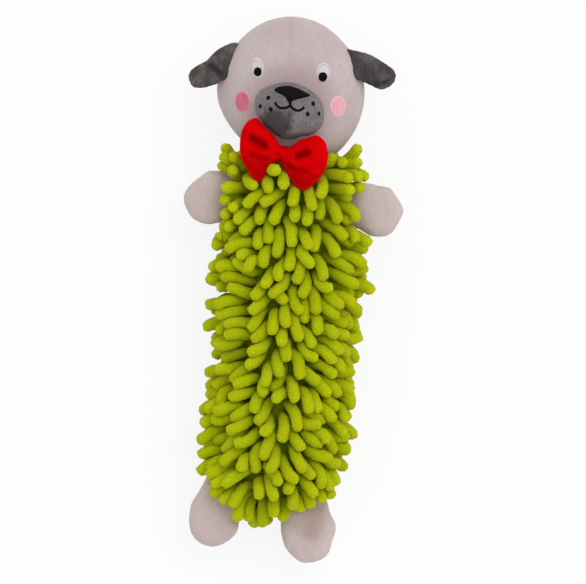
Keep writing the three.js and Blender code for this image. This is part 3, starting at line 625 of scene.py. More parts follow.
def stitchedLine(name, lines, surfaces, material, width, height, node):
    points, faces, sides, cuts = [], [], 8, 5
    for line in lines:
        last = len(line) - 1
        dense = [between(*(line[min(max(at + step, 0), last)] for step in (-1, 0, 1, 2)), cut / cuts)
                 for at in range(last) for cut in range(cuts)] + [line[-1]]
        first, end = len(points), len(dense) - 1
        for at, place in enumerate(dense):
            along = dense[min(at + 1, end)] - dense[max(at - 1, 0)]
            along = along / np.linalg.norm(along)
            z, normal = heightOn(surfaces, place)
            side = np.array([-along[1], along[0], 0])
            thin = 0.55 if at in (0, end) else 1.0
            for corner in range(sides):
                angle = 2 * math.pi * corner / sides
                points.append(np.array([*place, z]) + side * math.cos(angle) * width / 2 * thin
                              + normal * math.sin(angle) * height * thin)
        faces += bandFaces(len(dense), sides, first)
        faces += [list(range(first, first + sides))[::-1], list(range(len(points) - sides, len(points)))]
    return belongs(pieceFrom(name, points, faces, material), "head", [node])


faceSettings = {
    "nose": [
        (274.2, 90.9), (276.3, 88.9), (280.1, 87.6), (286.3, 87), (291.3, 87.4), (297.1, 89.4),
        (302.9, 92.1), (308.2, 94.8), (310.1, 96.3), (308.6, 97.3), (304.2, 98.6), (299.3, 99.8),
        (295.3, 100.9), (292.6, 101.9), (291.6, 103.4), (291.1, 105.6), (290, 106.8), (289, 105.6),
        (288.6, 103.3), (287, 101), (285.6, 98.3), (283.8, 96.8), (281.9, 95.6), (279.4, 94.6), (276.5, 93)],
    "philtrum": [(290.1, 105.4), (290.1, 107)],
    "leftSmile": [
        (290, 106.7), (287.7, 107.9), (285, 108.9), (282.3, 109), (279.2, 108.2), (276.7, 106.1),
        (275.2, 103.2)],
    "rightSmile": [
        (290.2, 106.2), (291.9, 108.6), (294.4, 110.4), (297.1, 111.5), (299.6, 111.2), (302.2, 109.8),
        (304.2, 107.9)],
    "mouthWidth": 1.6, "mouthHeight": 0.6,
    "dots": {
        "left_1": (268.5, 98.7, 2, 2.9, -35), "left_2": (260.6, 107.1, 1.7, 2.5, -15),
        "left_3": (270.8, 110, 2, 2.8, 18), "right_1": (312.9, 104.6, 2.1, 2.9, 8),
        "right_3": (307.4, 114.9, 2.1, 2.7, 5), "right_2": (318.6, 114.4, 1.35, 2.4, 0)},
    "eyes": {
        "left": {"white": (257.4, 68.6, 7.9, 12.9, 4), "pupil": (257.9, 72.5, 4.9, 5.7, 0)},
        "right": {"white": (323.5, 72.6, 8.7, 11.6, -4), "pupil": (322.7, 77.4, 5.5, 5.7, 0)}},
    "cheeks": {"left": (242.7, 101.8, 9.8, 13.8, 2), "right": (337.5, 106.9, 9.5, 13.2, -3)},
    "patchHeight": 0.55}


def face():
    settings = faceSettings
    nose = rounded(traced(settings["nose"]), 4)
    stitchedPatch("nose_stitched", nose, [muzzleSurface], blackThread, 0.9, "nose")
    lines = [traced(settings[key]) for key in ("philtrum", "leftSmile", "rightSmile")]
    stitchedLine("mouth_stitched", lines, [muzzleSurface], blackThread, settings["mouthWidth"],
                 settings["mouthHeight"], "mouth")
    for side, dot in settings["dots"].items():
        stitchedPatch(f"whisker_stitched_{side}", ovalLine(*dot, sides=14), [muzzleSurface], blackThread, 0.6,
                      f"whisker_dot_{side}")
    for side, eye in settings["eyes"].items():
        white = stitchedPatch(f"eye_stitched_{side}", ovalLine(*eye["white"]), [headSurface], whiteThread,
                              settings["patchHeight"], f"eye_white_{side}")
        stitchedPatch(f"pupil_stitched_{side}", ovalLine(*eye["pupil"], sides=20),
                      [headSurface, surfaceOf(white)], blackThread, 0.6, f"pupil_{side}", 0.3)
    for side, cheek in settings["cheeks"].items():
        stitchedPatch(f"cheek_stitched_{side}", ovalLine(*cheek), [headSurface],
                      rosePinkThread if side == "left" else pinkThread, settings["patchHeight"],
                      f"cheek_patch_{side}")


face()
print("face embroidered")


# Padded shapes cut to an outline

def padOf(name, outline, heightAt, thickness, material, edge=0.35):
    rings = [(1, edge), (0.96, 0.5), (0.86, 0.74), (0.7, 0.92), (0.45, 1), (0.2, 1)]
    middle, count = np.mean(outline, axis=0), len(outline)
    points, faces = [], []
    for way in (1, -1):
        first = len(points)
        for share, rise in rings:
            for corner in outline:
                place = middle + (corner - middle) * share
                points.append([*place, heightAt(place) + way * rise * thickness / 2])
        faces += bandFaces(len(rings), count, first) + fanFaces(len(points) - count, count, len(points))
        points.append([*middle, heightAt(middle) + way * thickness / 2])
    back = len(points) // 2
    faces += [[at, (at + 1) % count, back + (at + 1) % count, back + at] for at in range(count)]
    return pieceFrom(name, points, faces, material)


# Ears

earSettings = {
    "left": {
        "outline": [
            (238, 42.4), (233.6, 42.3), (228.2, 43.8), (221.1, 47.4), (215.7, 51), (211.3, 55.4),
            (207, 59.8), (200.5, 63.9), (195.6, 66.6), (191.2, 69.7), (188.9, 72.9), (188.4, 77.3),
            (189.1, 81.3), (191.4, 85.6), (195.6, 88.4), (200.1, 88.9), (205.4, 88), (211.3, 86.2),
            (217, 84.4), (221.5, 81.7), (226, 80), (231, 77), (235.5, 70), (238, 60), (240.5, 50)],
        "rootX": -37, "way": -1, "rootHeight": 42.4,
        "folds": [
            ([(203.5, 62.5), (210, 66.5), (217, 71.5), (223, 76.5)], 2, 2.2),
            ([(229, 51), (226.5, 62), (225, 72)], 0.8, 2)]},
    "right": {
        "outline": [
            (346.5, 48.6), (353.4, 50.2), (360.1, 51.8), (369, 54), (373.5, 56.2), (380.2, 60.2),
            (387.3, 65.1), (392.2, 68.3), (395.3, 71.7), (396.3, 75.7), (395.2, 80.8), (391.9, 85.4),
            (387.3, 88.6), (381.5, 90), (375.7, 88.6), (370.4, 85.9), (365, 83.3), (360.5, 81.9),
            (356, 79.3), (350, 74), (347.5, 66), (345.5, 57)],
        "rootX": 38, "way": 1, "rootHeight": 42,
        "folds": [
            ([(372, 84.5), (378, 85.2), (384.5, 83.5), (391.5, 80)], 1.8, 1.8),
            ([(357, 58), (362, 66), (366, 76)], 0.8, 2.2)]},
    "rootY": 145, "rootSlope": 0.37, "lean": math.tan(math.radians(13)), "thickness": 6,
    "sewing": {"voxel": 1.5, "pressure": 1.2, "cap": 0.9, "levels": 1, "slack": 0.03, "bending": 0.2}}


def earPiece(side):
    settings = earSettings[side]

    def height(places):  # the ear lies against the round of the head and droops outwards
        out = np.maximum(0.0, (places[..., 0] - settings["rootX"]) * settings["way"])
        slope = earSettings["rootSlope"] * (1 - 0.6 * smoothStep(out, 4, 26))
        lift = settings["rootHeight"] - slope * (places[..., 1] - earSettings["rootY"])
        return lift - out * earSettings["lean"]

    outline = rounded(traced(settings["outline"]), 3)
    ear = padOf(f"ear_{side}_plush", outline, height, earSettings["thickness"], darkPlush)
    stuffed(ear, dict(earSettings["sewing"], seam=lambda points: points[:, 2] - height(points)))
    dent(ear, lambda points: creases(points, settings["folds"]) * (points[:, 2] > height(points)))
    belongs(ear, f"ear_{side}", [f"ear_{side}_front_panel", f"ear_{side}_back_panel"])


for side in ("left", "right"):
    earPiece(side)
print("ears sewn")


# Arms and feet

limbSettings = {
    "arm_left": {
        "outline": [
            (213.4, 169.9), (208, 170.1), (201.6, 174.7), (192.6, 181.8), (184.4, 191.4), (182.9, 196.6),
            (183.4, 202.4), (186.2, 209.7), (190.3, 216.6), (195, 220.7), (201.8, 223.8), (208.9, 225.1),
            (215.2, 224.2), (221.9, 222.4), (232, 216), (240, 210), (240, 178), (231, 172.5), (221, 170)],
        # the fold at the arm's root is shallow; its painted shade stands for the noodles' shadow
        "height": 30, "depth": 16.6, "folds": [([(230, 168), (227, 182), (225, 200), (228, 224)], 0.45, 5)]},
    "arm_right": {
        "outline": [
            (355, 182), (361.1, 182.1), (369.1, 182.5), (377.1, 184.3), (385.2, 186.1), (391.3, 187.5),
            (394.5, 192), (399, 198.8), (403, 206), (404.3, 211.5), (402.1, 217.5), (398.1, 225.1),
            (393.6, 231.9), (386.8, 236.4), (380.7, 237.4), (373.6, 237.4), (369, 236), (358.2, 229.8),
            (346, 222), (344, 192)],
        # the fold at the arm's root is shallow; its painted shade stands for the noodles' shadow
        "height": 30, "depth": 16.6, "folds": [([(350, 184), (352, 200), (356, 214), (364, 232)], 0.35, 4)]},
    "foot_left": {
        "outline": [
            (210, 471), (207, 475), (200.7, 486.4), (195.5, 495.4), (191.1, 503.2), (188.8, 514.2),
            (188.8, 523.8), (190.8, 533.5), (195, 540), (201.5, 544.6), (208.6, 547.1), (216.4, 547.1),
            (224.8, 543.8), (232.6, 538.1), (237.8, 531.6), (240, 523.1), (241.9, 514.8), (243.5, 498),
            (246, 482), (238, 472), (223, 469)],
        "height": 29, "depth": 18.6},
    "foot_right": {
        "outline": [
            (280.5, 500), (279.9, 516), (280.5, 529.4), (282.8, 543.2), (285.1, 548.6), (292.7, 557.2),
            (300.8, 563.1), (307.9, 563.6), (317.2, 561.9), (324.8, 558.4), (329.5, 552.5), (332.4, 543.8),
            (335.3, 534.5), (336.7, 527.6), (335.3, 521.8), (332.4, 515.4), (329.5, 507.4), (327, 500),
            (321, 490), (311, 484), (290, 485)],
        "height": 29, "depth": 18.6,
        # painted shade of a soft dimple, and of the noodles' shadow over the top of the foot
        "folds": [
            ([(323, 498), (318.5, 512), (312, 528), (306.5, 544)], 0.5, 8.5),
            ([(296, 503), (308, 506), (324, 508)], 0.45, 5)]},
    "seamDepth": 0.5, "seamWidth": 0.9,
    "sewing": {"voxel": 1.9, "pressure": 3.5, "cap": 1.6, "levels": 1, "slack": 0.02, "bending": 0.3}}


def limbPiece(name):
    settings = limbSettings[name]
    outline = rounded(traced(settings["outline"]), 3)
    away = outline - outline.mean(axis=0)
    outline = outline.mean(axis=0) + away * (1 - 0.4 / np.linalg.norm(away, axis=1, keepdims=True))
    limb = padOf(f"{name}_plush", outline, lambda place: settings["height"], settings["depth"] - 1.6,
                 limbPlush, 0.2)
    stuffed(limb, dict(limbSettings["sewing"], seam=lambda points: points[:, 2] - settings["height"]))

    def sewn(points):
        out = points[:, 2] - settings["height"]
        groove = bell(out, limbSettings["seamWidth"]) * limbSettings["seamDepth"]
        return np.maximum(groove, creases(points, settings.get("folds", [])) * (out > 0))

    dent(limb, sewn)
    nodes = [f"{name}_front_cover", f"{name}_back_cover", f"{name}_filling"]
    return belongs(limb, name, nodes)


limbs = {name: limbPiece(name) for name in ("arm_left", "arm_right", "foot_left", "foot_right")}
print("arms and feet stuffed")


# Bow

bowSettings = {
    "left": {
        "outline": [
            (255.4, 119), (251, 120.5), (247.2, 123.2), (242.9, 130), (240.7, 138.7), (240.3, 149.5),
            (241.6, 158.7), (247.4, 169.6), (252.6, 177.4), (257, 181.6), (261.6, 181.2), (265.3, 174),
            (269.6, 167.8), (273.5, 163.3), (279, 161), (284.5, 158.5), (287, 153), (285.5, 148.2),
            (281.2, 146), (276.8, 140.2), (270.4, 133.2), (263, 126), (259.2, 120.8)],
        "lowerHalf": [(240, 154.5), (283, 163.5)],
        "folds": [
            ([(245.5, 135.5), (252, 139), (258, 142.5), (270, 150.5)], 3.8, 2.5),
            ([(247.5, 155.5), (255, 157.6), (263, 160.5), (273, 161)], 2.6, 2.6)]},
    "right": {
        "outline": [
            (292.4, 146), (298.8, 141.5), (307.1, 138.6), (316.4, 136.1), (320.7, 138.8), (324.8, 143.1),
            (327.3, 151.4), (327.3, 159.7), (325.4, 167.6), (321.5, 175.4), (314.9, 182.5), (309.1, 187.7),
            (303, 190.5), (298.5, 188.2), (293.9, 184.4), (289.4, 177.8), (285.6, 171.4), (281.8, 165.7),
            (279, 161), (279.5, 154), (283.5, 149.3), (288, 147.2)],
        "lowerHalf": [(280, 160), (324, 176)],
        "folds": [
            ([(293, 158.5), (301, 155.2), (307, 153.8), (311.5, 156)], 3.6, 2.5),
            ([(282.5, 161), (288, 168.5), (295, 171.6), (303, 172.5), (313, 174.2)], 2.6, 2.6)]},
    "knot": (283.4, 154.6), "knotHalf": (7.4, 5.3, 7), "knotHeight": 62, "knotTurn": -12, "height": 65.6,
    "thickness": 10, "pinchDepth": 1.2, "pinchWidth": 7, "lowerDepth": 1.3, "lowerSlope": 1,
    "sewing": {"voxel": 1.5, "pressure": 1, "cap": 0.8, "levels": 1, "slack": 0.03, "bending": 0.2}}


def bowWing(side):
    settings = bowSettings[side]
    outline = rounded(traced(settings["outline"]), 3)
    wing = padOf(f"bow_{side}_felt", outline, lambda place: bowSettings["height"], bowSettings["thickness"],
                 redFelt)
    stuffed(wing, bowSettings["sewing"])
    knot = onPhoto(*bowSettings["knot"])

    def folded(points):  # the knot draws the wing in, and the cloth folds away from it
        near = bell(np.linalg.norm(points[:, :2] - knot, axis=1), bowSettings["pinchWidth"])
        front = smoothStep(points[:, 2], bowSettings["height"], bowSettings["height"] + 2.5)
        # below this line the wing lies lower and faces down; through foldShade it is also painted darker, as
        # painted shade
        a, b = traced(settings["lowerHalf"])
        below = (points[:, 0] - a[0]) * (b[1] - a[1]) - (points[:, 1] - a[1]) * (b[0] - a[0])
        below = below / np.linalg.norm(b - a)
        lower = smoothStep(below, -0.5, 3.0) * bowSettings["lowerDepth"]
        lower = lower + smoothStep(below, 0, 16) * bowSettings["lowerSlope"]
        deep = np.maximum(creases(points, settings["folds"]), lower)
        return np.maximum(deep * front, near * bowSettings["pinchDepth"])

    dent(wing, folded)
    belongs(wing, "head", [f"bow_{side}_wing"])


def bowKnot():
    settings = bowSettings
    half = np.array(settings["knotHalf"])

    def gathered(ways):
        shaped = ways.copy()
        ridge = 1 + 0.06 * np.cos(np.arctan2(ways[:, 2], ways[:, 0]) * 9)
        shaped[:, 0] *= ridge * (1 - 0.16 * (1 - np.abs(ways[:, 1])))
        shaped[:, 2] *= ridge
        turn = math.radians(settings["knotTurn"])
        x, y = shaped[:, 0] * half[0], shaped[:, 1] * half[1]
        shaped[:, 0] = (x * math.cos(turn) - y * math.sin(turn)) / half[0]
        shaped[:, 1] = (x * math.sin(turn) + y * math.cos(turn)) / half[1]
        return shaped

    centre = [*onPhoto(*settings["knot"]), settings["knotHeight"]]
    knot = ballOf("bow_knot_felt", centre, half, gathered, redFelt)
    belongs(knot, "head", ["bow_knot"])


for side in ("left", "right"):
    bowWing(side)
bowKnot()
print("bow tied")


# Body under the noodles

bodySettings = {
    "length": 206, "halfWidth": 32, "halfDepth": 22.4, "bend": 15, "drop": 6, "shift": 0.6,
    "down": [0, 0.015, 0.05, 0.12, 0.27, 0.5, 0.63, 0.75, 0.87, 0.94, 0.98, 1],
    "wide": [0.5, 0.7, 0.88, 0.98, 1, 0.91, 0.87, 0.92, 0.94, 0.82, 0.58, 0.3],
    "deep": [0.64, 0.76, 0.88, 0.96, 1, 1, 1, 1, 0.93, 0.8, 0.58, 0.3], "sides": 40, "rows": 64,
    "sewing": {"voxel": 4, "pressure": 2, "cap": 1.2, "levels": 1, "slack": 0.02}}


def bodySection(down):  # middle, half width and half depth at a share of the body's length
    settings = bodySettings
    wide = np.interp(down, settings["down"], settings["wide"]) * settings["halfWidth"]
    deep = np.interp(down, settings["down"], settings["deep"]) * settings["halfDepth"]
    centre = np.stack([neckAt[0] + settings["shift"] - settings["bend"] * down ** 2,
                       neckAt[1] - settings["drop"] - down * settings["length"],
                       np.full_like(down, neckAt[2])], axis=-1)
    return centre, wide, deep


def downAt(height):  # the share of the body's length at a height on the photograph
    return (neckAt[1] - bodySettings["drop"] - height) / bodySettings["length"]


def bodyCloth():
    settings = bodySettings
    downs = np.sort(np.concatenate([np.linspace(0, 1, settings["rows"]), [0.004, 0.01, 0.99, 0.996]]))
    rows, sides = len(downs), settings["sides"]
    points = []
    for centre, wide, deep in zip(*bodySection(downs)):
        for side in range(sides):
            angle = 2 * math.pi * side / sides
            points.append(centre + np.array([wide * math.cos(angle), 0, deep * math.sin(angle)]))
    ends = [list(range(sides)), list(range((rows - 1) * sides, rows * sides))[::-1]]
    cloth = pieceFrom("body_base_cloth", points, bandFaces(rows, sides) + ends, greenCloth)
    stuffed(cloth, settings["sewing"])
    return belongs(cloth, "torso", ["body_filling_front", "body_filling_back"])


body = bodyCloth()
neckBall = ballOf("neck_cloth", neckAt, (14.6, 14.6, 14.6), lambda ways: ways, greenCloth)
belongs(neckBall, "neck", ["neck_filling"])
print("body stuffed")


# Noodles: each is a line of beads that is laid out, then pushed clear of its neighbours

noodleSettings = {
    "seed": 11, "rowPitch": 8.5, "frontPitch": 8.4, "sidePitch": 9.2, "backPitch": 10.5, "length": 23.8,
    "lengthSpread": 2.8, "beads": 8, "sway": 3.2, "radius": 3.8, "rootDepth": 2, "jitter": 0.44,
    "steps": 90, "floor": 0.8, "frontRise": 0.5, "riseSpread": 0.15, "endOnShare": 0.15, "endOnRise": 0.3,
    "sideRise": 0.62, "backRise": 0.16, "fanLeft": (80, 54), "fanRight": (58, 30),
    "headTilts": (-15, 0, 15), "collar": 0.045,
    "placed": [
        # the ruff and the left shoulder
        (246, 170, 225.7, 147, 42), (244, 172, 225.5, 155.5, 46), (250, 172, 236.4, 157.4, 54),
        (243, 174, 223.2, 165.7, 42), (252, 176, 234, 171.5, 57), (255, 187, 227.3, 188, 58),
        (258, 178, 255.5, 187.2, 68), (245, 196, 226.5, 200.5, 52), (250, 204, 234, 208, 58),
        (246, 210, 227, 213.8, 50), (256, 208, 239, 220.4, 62), (246, 222, 229.8, 226.6, 54),
        (262, 219, 244, 230.3, 62), (243, 232, 223.2, 237, 44), (240, 240, 217.4, 244.8, 40),
        (244, 245, 226, 252, 40),
        # under the bow
        (277, 172, 277, 170.6, 74), (274, 174, 269.2, 190.5, 68), (286, 174, 283.7, 185.6, 70),
        (284, 190, 263, 203.8, 64), (294, 184, 292.8, 204.6, 67), (284, 202, 272.9, 222.9, 64),
        (268, 206, 260.5, 220.4, 62), (294, 206, 294.5, 217.9, 70), (266, 230, 259.7, 244.4, 62),
        # the ruff and the right shoulder
        (336, 166, 358, 146.6, 42), (330, 168, 355.6, 161.5, 47), (322, 170, 341.5, 162.3, 56),
        (342, 172, 365.5, 178.1, 44), (336, 170, 357.2, 177.3, 52), (318, 174, 346.4, 178.9, 60),
        (324, 188, 348.9, 189.7, 60), (340, 186, 358.9, 188.9, 52), (332, 196, 346.4, 201.3, 46),
        (318, 171, 334, 156, 50), (322, 174, 341, 171, 48), (332, 212, 349, 219, 50),
        (334, 238, 350, 243, 44), (314, 178, 319.9, 196.3, 66), (303, 186, 312.4, 207.9, 68),
        (320, 200, 337.3, 220.4, 62), (332, 204, 353.9, 222, 54), (304, 208, 306.6, 222, 70),
        (320, 222, 343.1, 237, 58), (336, 226, 354.7, 240.3, 50), (312, 228, 310.8, 250.2, 64),
        (318, 236, 335.7, 254.4, 60),
        # down the sides
        (344, 232, 366.5, 242.5, 46), (330, 284, 350, 295, 38), (238, 262, 213.5, 266.5, 44),
        (236, 274, 212.5, 279, 40), (248, 352, 226, 361, 38), (240, 377, 217.5, 387, 38),
        (238, 398, 209, 410, 42), (234, 413, 205, 424, 40), (232, 428, 201, 440, 42),
        (230, 445, 202.5, 456, 40), (331, 440, 347.5, 448.5, 40), (240, 435, 213, 446, 34),
        (324, 178, 344, 184, 40), (241, 214, 222, 221, 40), (314, 198, 318.5, 217, 58),
        # over the feet
        (222, 458, 201.4, 471, 40), (232, 456, 213, 468, 46), (256, 466, 225, 484, 58),
        (234, 474, 213, 484.6, 44), (238, 480, 213.7, 495.3, 46), (244, 486, 222.8, 501.4, 48),
        (250, 484, 233.6, 506, 54), (250, 492, 231.3, 519.5, 46), (256, 497, 248.9, 518.2, 46),
        (265, 497, 263.4, 528, 40), (272, 494, 273.3, 515.2, 54), (281, 497, 285.6, 524.3, 44),
        (290, 496, 298.6, 521.3, 46), (286, 486, 292.5, 507.5, 58), (296, 484, 310, 506, 52),
        (294, 474, 313.1, 493.7, 58), (305, 482, 321.5, 499.9, 46), (312, 478, 330.7, 496, 42),
        (310, 468, 327, 487.6, 52), (316, 464, 335.3, 483, 44), (287, 470, 287.1, 492.2, 62),
        (262, 478, 258.8, 495.3, 60)],
    "placedRoom": 6.5, "placedEase": 0.45, "placedPull": 0.2, "placedSlack": 1.18, "collarTurn": (60, 95),
    "limbTurns": (-25, -12.5, 0, 12.5, 25), "limbRoom": 6, "bowRoom": ((0, 58), (10, 56)), "overBow": 60,
    "shoulderRoom": 2, "taper": (0.55, 0.7, 0.85), "kneeShare": 0.42, "tipShare": 0.92, "pull": 0.08,
    "stiffness": 0.12, "regroup": 3, "searchRoom": 0.8, "touching": 0.96, "pushShare": 0.45,
    "pushMost": 1.5, "headTouch": 0.9, "limbTouch": 1.1, "bodyRoom": 3, "collarFan": 24, "collarLift": 0.85}


def unit(ways, least=0.0):
    return ways / np.maximum(np.linalg.norm(ways, axis=1, keepdims=True), least)


def noodleRoots(draw):
    settings = noodleSettings
    fine = np.linspace(0, 1, 1200)
    centre, wide, _ = bodySection(fine)
    travelled = travel(np.stack([wide, centre[:, 1]], axis=1))
    rows = int(travelled[-1] // settings["rowPitch"])
    angle = np.linspace(0, 2 * math.pi, 721)
    facing = np.sin((angle[1:] + angle[:-1]) / 2)  # 1 at the front, -1 at the back
    side, front, back = (settings[key] for key in ("sidePitch", "frontPitch", "backPitch"))
    pitch = np.where(facing > 0, side + (front - side) * facing, side - (back - side) * facing)
    downs, angles = [], []
    for row in range(rows + 1):
        down = np.interp((row + 0.5) * travelled[-1] / (rows + 1), travelled, fine)
        _, halfWide, halfDeep = bodySection(np.array([down]))
        ring = np.stack([halfWide[0] * np.cos(angle), halfDeep[0] * np.sin(angle)], axis=1)
        turned = np.concatenate([[0], np.cumsum(np.linalg.norm(np.diff(ring, axis=0), axis=1) / pitch)])
        count = max(int(round(turned[-1])), 3)
        for at in range(count):
            place = (at + 0.5 * (row % 2) + draw.uniform(-0.14, 0.14)) / count * turned[-1]
            angles.append(np.interp(place % turned[-1], turned, angle))
            downs.append(np.clip(down + draw.uniform(-0.006, 0.006), 0.002, 0.998))
    return np.array(downs), np.array(angles)


def surfacePoint(down, angle):
    centre, wide, deep = bodySection(down)
    return centre + np.stack([wide * np.cos(angle), np.zeros_like(down), deep * np.sin(angle)], axis=-1)


def noodleLay(draw):
    settings = noodleSettings
    down, angle = noodleRoots(draw)
    count, small = len(down), 0.003
    root = surfacePoint(down, angle)
    round_ = surfacePoint(down, angle + small) - surfacePoint(down, angle - small)
    below, above = np.clip(down + small, 0, 1), np.clip(down - small, 0, 1)
    lower = surfacePoint(below, angle) - surfacePoint(above, angle)
    normal = unit(np.cross(round_, lower))
    normal *= np.sign(np.sum(normal * (root - bodySection(down)[0]), axis=1, keepdims=True))
    ends = smoothStep(down, 0.93, 1.0)[:, None]
    normal = unit(normal * (1 - 0.5 * ends) + np.array([0, -1, 0]) * 0.5 * ends)
    lower = unit(np.array([0, -1.0, 0]) - normal * (-normal[:, 1:2]), 1e-6)
    across = np.cross(lower, normal) * -1
    across *= np.sign(across[:, 0:1] + 1e-9) * np.sign(normal[:, 2:3] + 1e-9)
    front = smoothStep(normal[:, 2], -0.1, 0.5)
    back = smoothStep(-normal[:, 2], 0.1, 0.6)
    side = 1 - front - back
    lean = np.sign(normal[:, 0]) * np.clip((np.abs(normal[:, 0]) - 0.04) / 0.42, 0, 1) ** 0.9
    collar = 1 - smoothStep(down, 0.03, 0.16)
    fanLeft, fanRight = (np.interp(down, (0, 1), settings[key]) for key in ("fanLeft", "fanRight"))
    turn = np.where(lean < 0, fanLeft, fanRight) + settings["collarFan"] * collar
    fan = np.radians(lean * turn) + draw.normal(0, 1, count) * settings["jitter"] * (0.7 + 0.3 * np.abs(lean))
    rise = front * settings["frontRise"] + side * settings["sideRise"] + back * settings["backRise"]
    rise = rise + front * draw.normal(0, 1, count) * settings["riseSpread"]
    rise = rise + front * (draw.uniform(0, 1, count) < settings["endOnShare"]) * settings["endOnRise"]
    rise = np.clip(rise + smoothStep(np.abs(normal[:, 0]), 0.6, 1.0) * 0.1 + 0.1 * collar * front, 0.1, 0.93)
    flat = np.sqrt(np.maximum(1 - rise ** 2, 0))[:, None]
    way = normal * rise[:, None] + flat * (lower * np.cos(fan)[:, None] + across * np.sin(fan)[:, None])
    lift = (collar * np.abs(normal[:, 0]) * settings["collarLift"])[:, None]
    way = unit(way + np.array([0, 1.0, 0]) * lift)
    length = settings["length"] + draw.uniform(-1, 1, count) * settings["lengthSpread"]
    aside = unit(np.cross(normal, way), 1e-3)
    sway = aside * (draw.normal(0, 1, count) * settings["sway"] * (1 - back))[:, None]
    return root, normal, way, length, sway, down


def placedNoodles():  # the noodles whose places tell on the photograph
    settings = noodleSettings
    places = np.array(settings["placed"], float)
    start = traced(places[:, :2])
    tip = np.column_stack([traced(places[:, 2:4]), places[:, 4]])
    down = np.clip(downAt(start[:, 1]), 0.012, 1)
    centre, wide, _ = bodySection(down)
    angle = np.arccos(np.clip((start[:, 0] - centre[:, 0]) / wide, -0.97, 0.97))
    root = surfacePoint(down, angle)
    normal = unit(root - centre + np.array([0, 3.0, 0]) * (down < 0.03)[:, None])
    way = tip - root
    length = np.clip(np.linalg.norm(way, axis=1) * settings["placedSlack"], 19, 31)
    return root, normal, way / (length * settings["tipShare"])[:, None], length, np.zeros_like(root), down


def ellipsoidPush(points, centre, half, turn, radius):  # moves out the points inside, and says which
    local = (points - centre) @ turn
    far = np.linalg.norm(local / (half + radius), axis=1)
    inside = far < 1
    pushed = np.where(inside[:, None], local / np.maximum(far, 1e-3)[:, None], local)
    return pushed @ turn.T + centre, inside


def turnMatrix(axis, degrees):
    return np.array(Matrix.Rotation(math.radians(degrees), 3, Vector(axis)))


def headObstacles():  # head and muzzle, at rest and as the neck nods and tilts
    found = []
    for tilt in noodleSettings["headTilts"]:
        for nod in (0, 10):
            turn = turnMatrix((1, 0, 0), nod) @ turnMatrix((0, 0, 1), tilt)
            for centre, half in ((headCentre, headSettings["half"]), (muzzleCentre, muzzleSettings["half"])):
                centre = turn @ (centre - neckAt) + neckAt
                found.append((centre, np.array(half), turn, tilt != 0 or nod != 0))
    return found


def clearOfHead(cloth):  # the body's shoulders leave room for the head as it tilts and nods
    points = read(cloth.data) / mm
    for centre, half, turn, _ in headObstacles():
        points, _ = ellipsoidPush(points, centre, half, turn, noodleSettings["shoulderRoom"])
    moveTo(cloth, points * mm)


def limbObstacles():  # each limb's own surface, at rest and across its swing
    found = []
    for name, limb in limbs.items():
        points = read(limb.data) / mm
        faces = [tuple(face.vertices) for face in limb.data.polygons]
        hinge = next(joint for joint in frame["joints"] if joint["child"] == name)
        pivot = np.array(hinge["pos_m"]) / mm
        for angle in noodleSettings["limbTurns"]:
            turned = (points - pivot) @ turnMatrix(hinge["axis"], angle).T + pivot
            surface = BVHTree.FromPolygons(turned.tolist(), faces)
            found.append((surface, turned.min(axis=0), turned.max(axis=0)))
    return found


def surfacePush(points, radius, tree, low, high):  # moves out the points too near, and says which
    pushed, touched = points.copy(), np.zeros(len(points), bool)
    for at in np.flatnonzero(np.all((points > low - 4) & (points < high + 4), axis=1)):
        place, normal, _, far = tree.find_nearest(points[at])
        way = Vector(points[at]) - place
        inside = way.dot(normal) < 0
        if inside or far < radius[at]:
            touched[at] = True
            pushed[at] = place + (normal if inside or far < 0.01 else way / far) * radius[at]
    return pushed, touched


def insidePolygon(points, outline):
    inside = np.zeros(len(points), bool)
    for a, b in zip(outline, np.roll(outline, -1, axis=0)):
        crosses = (a[1] > points[:, 1]) != (b[1] > points[:, 1])
        slope = (b[0] - a[0]) * (points[:, 1] - a[1]) / (b[1] - a[1] + 1e-12) + a[0]
        inside ^= crosses & (points[:, 0] < slope)
    return inside


def nearPairs(points, owner, weight, reach):  # the beads of different noodles that are near each other
    tree = KDTree(len(points))
    for at, point in enumerate(points):
        tree.insert(point, at)
    tree.balance()
    pairs = set()
    for at in np.flatnonzero(weight == 1):
        for _, other, _ in tree.find_range(points[at], reach):
            if owner[other] != owner[at] and weight[other] > 0:
                pairs.add((min(at, other), max(at, other)))
    return np.array(sorted(pairs))


def pushApart(points, radius, pairs):
    settings = noodleSettings
    first, second = pairs.T
    apart = points[first] - points[second]
    far = np.maximum(np.linalg.norm(apart, axis=1), 1e-3)
    wanted = (radius[first] + radius[second]) * settings["touching"]
    push = np.clip(wanted - far, 0, None) * settings["pushShare"]
    shift = apart / far[:, None] * push[:, None]
    moved = np.zeros_like(points)
    np.add.at(moved, first, shift)
    np.add.at(moved, second, -shift)
    amount = np.maximum(np.linalg.norm(moved, axis=1, keepdims=True), 1e-6)
    return moved * np.minimum(1, settings["pushMost"] / amount)


def underBow(points, line, reachesOver):  # the bow comes down and forward as the head nods
    for nod, below in noodleSettings["bowRoom"]:
        turned = line.copy()
        turned[:, 1] -= (bowSettings["height"] - neckAt[2]) * math.sin(math.radians(nod))
        roof = below + (points[:, 1] - neckAt[1]) * math.tan(math.radians(nod))
        under = insidePolygon(points[:, :2], turned) & (points[:, 2] > roof)
        under &= (nod == 0) | ~reachesOver
        points[under, 2] += (roof[under] - points[under, 2]) * 0.5


def outOfBody(points, free):
    centre, wide, deep = bodySection(np.clip(downAt(points[:, 1]), 0, 1))
    room = noodleSettings["bodyRoom"]
    out = (points - centre) / np.stack([wide + room, np.ones_like(wide), deep + room], axis=1)
    share = np.hypot(out[:, 0], out[:, 2])
    sunk = (share < 1) & free & (points[:, 1] < neckAt[1] - 6) & (points[:, 1] > neckAt[1] - 210)
    for axis in (0, 2):
        away = points[sunk, axis] - centre[sunk, axis]
        points[sunk, axis] = centre[sunk, axis] + away / np.maximum(share[sunk], 0.3)


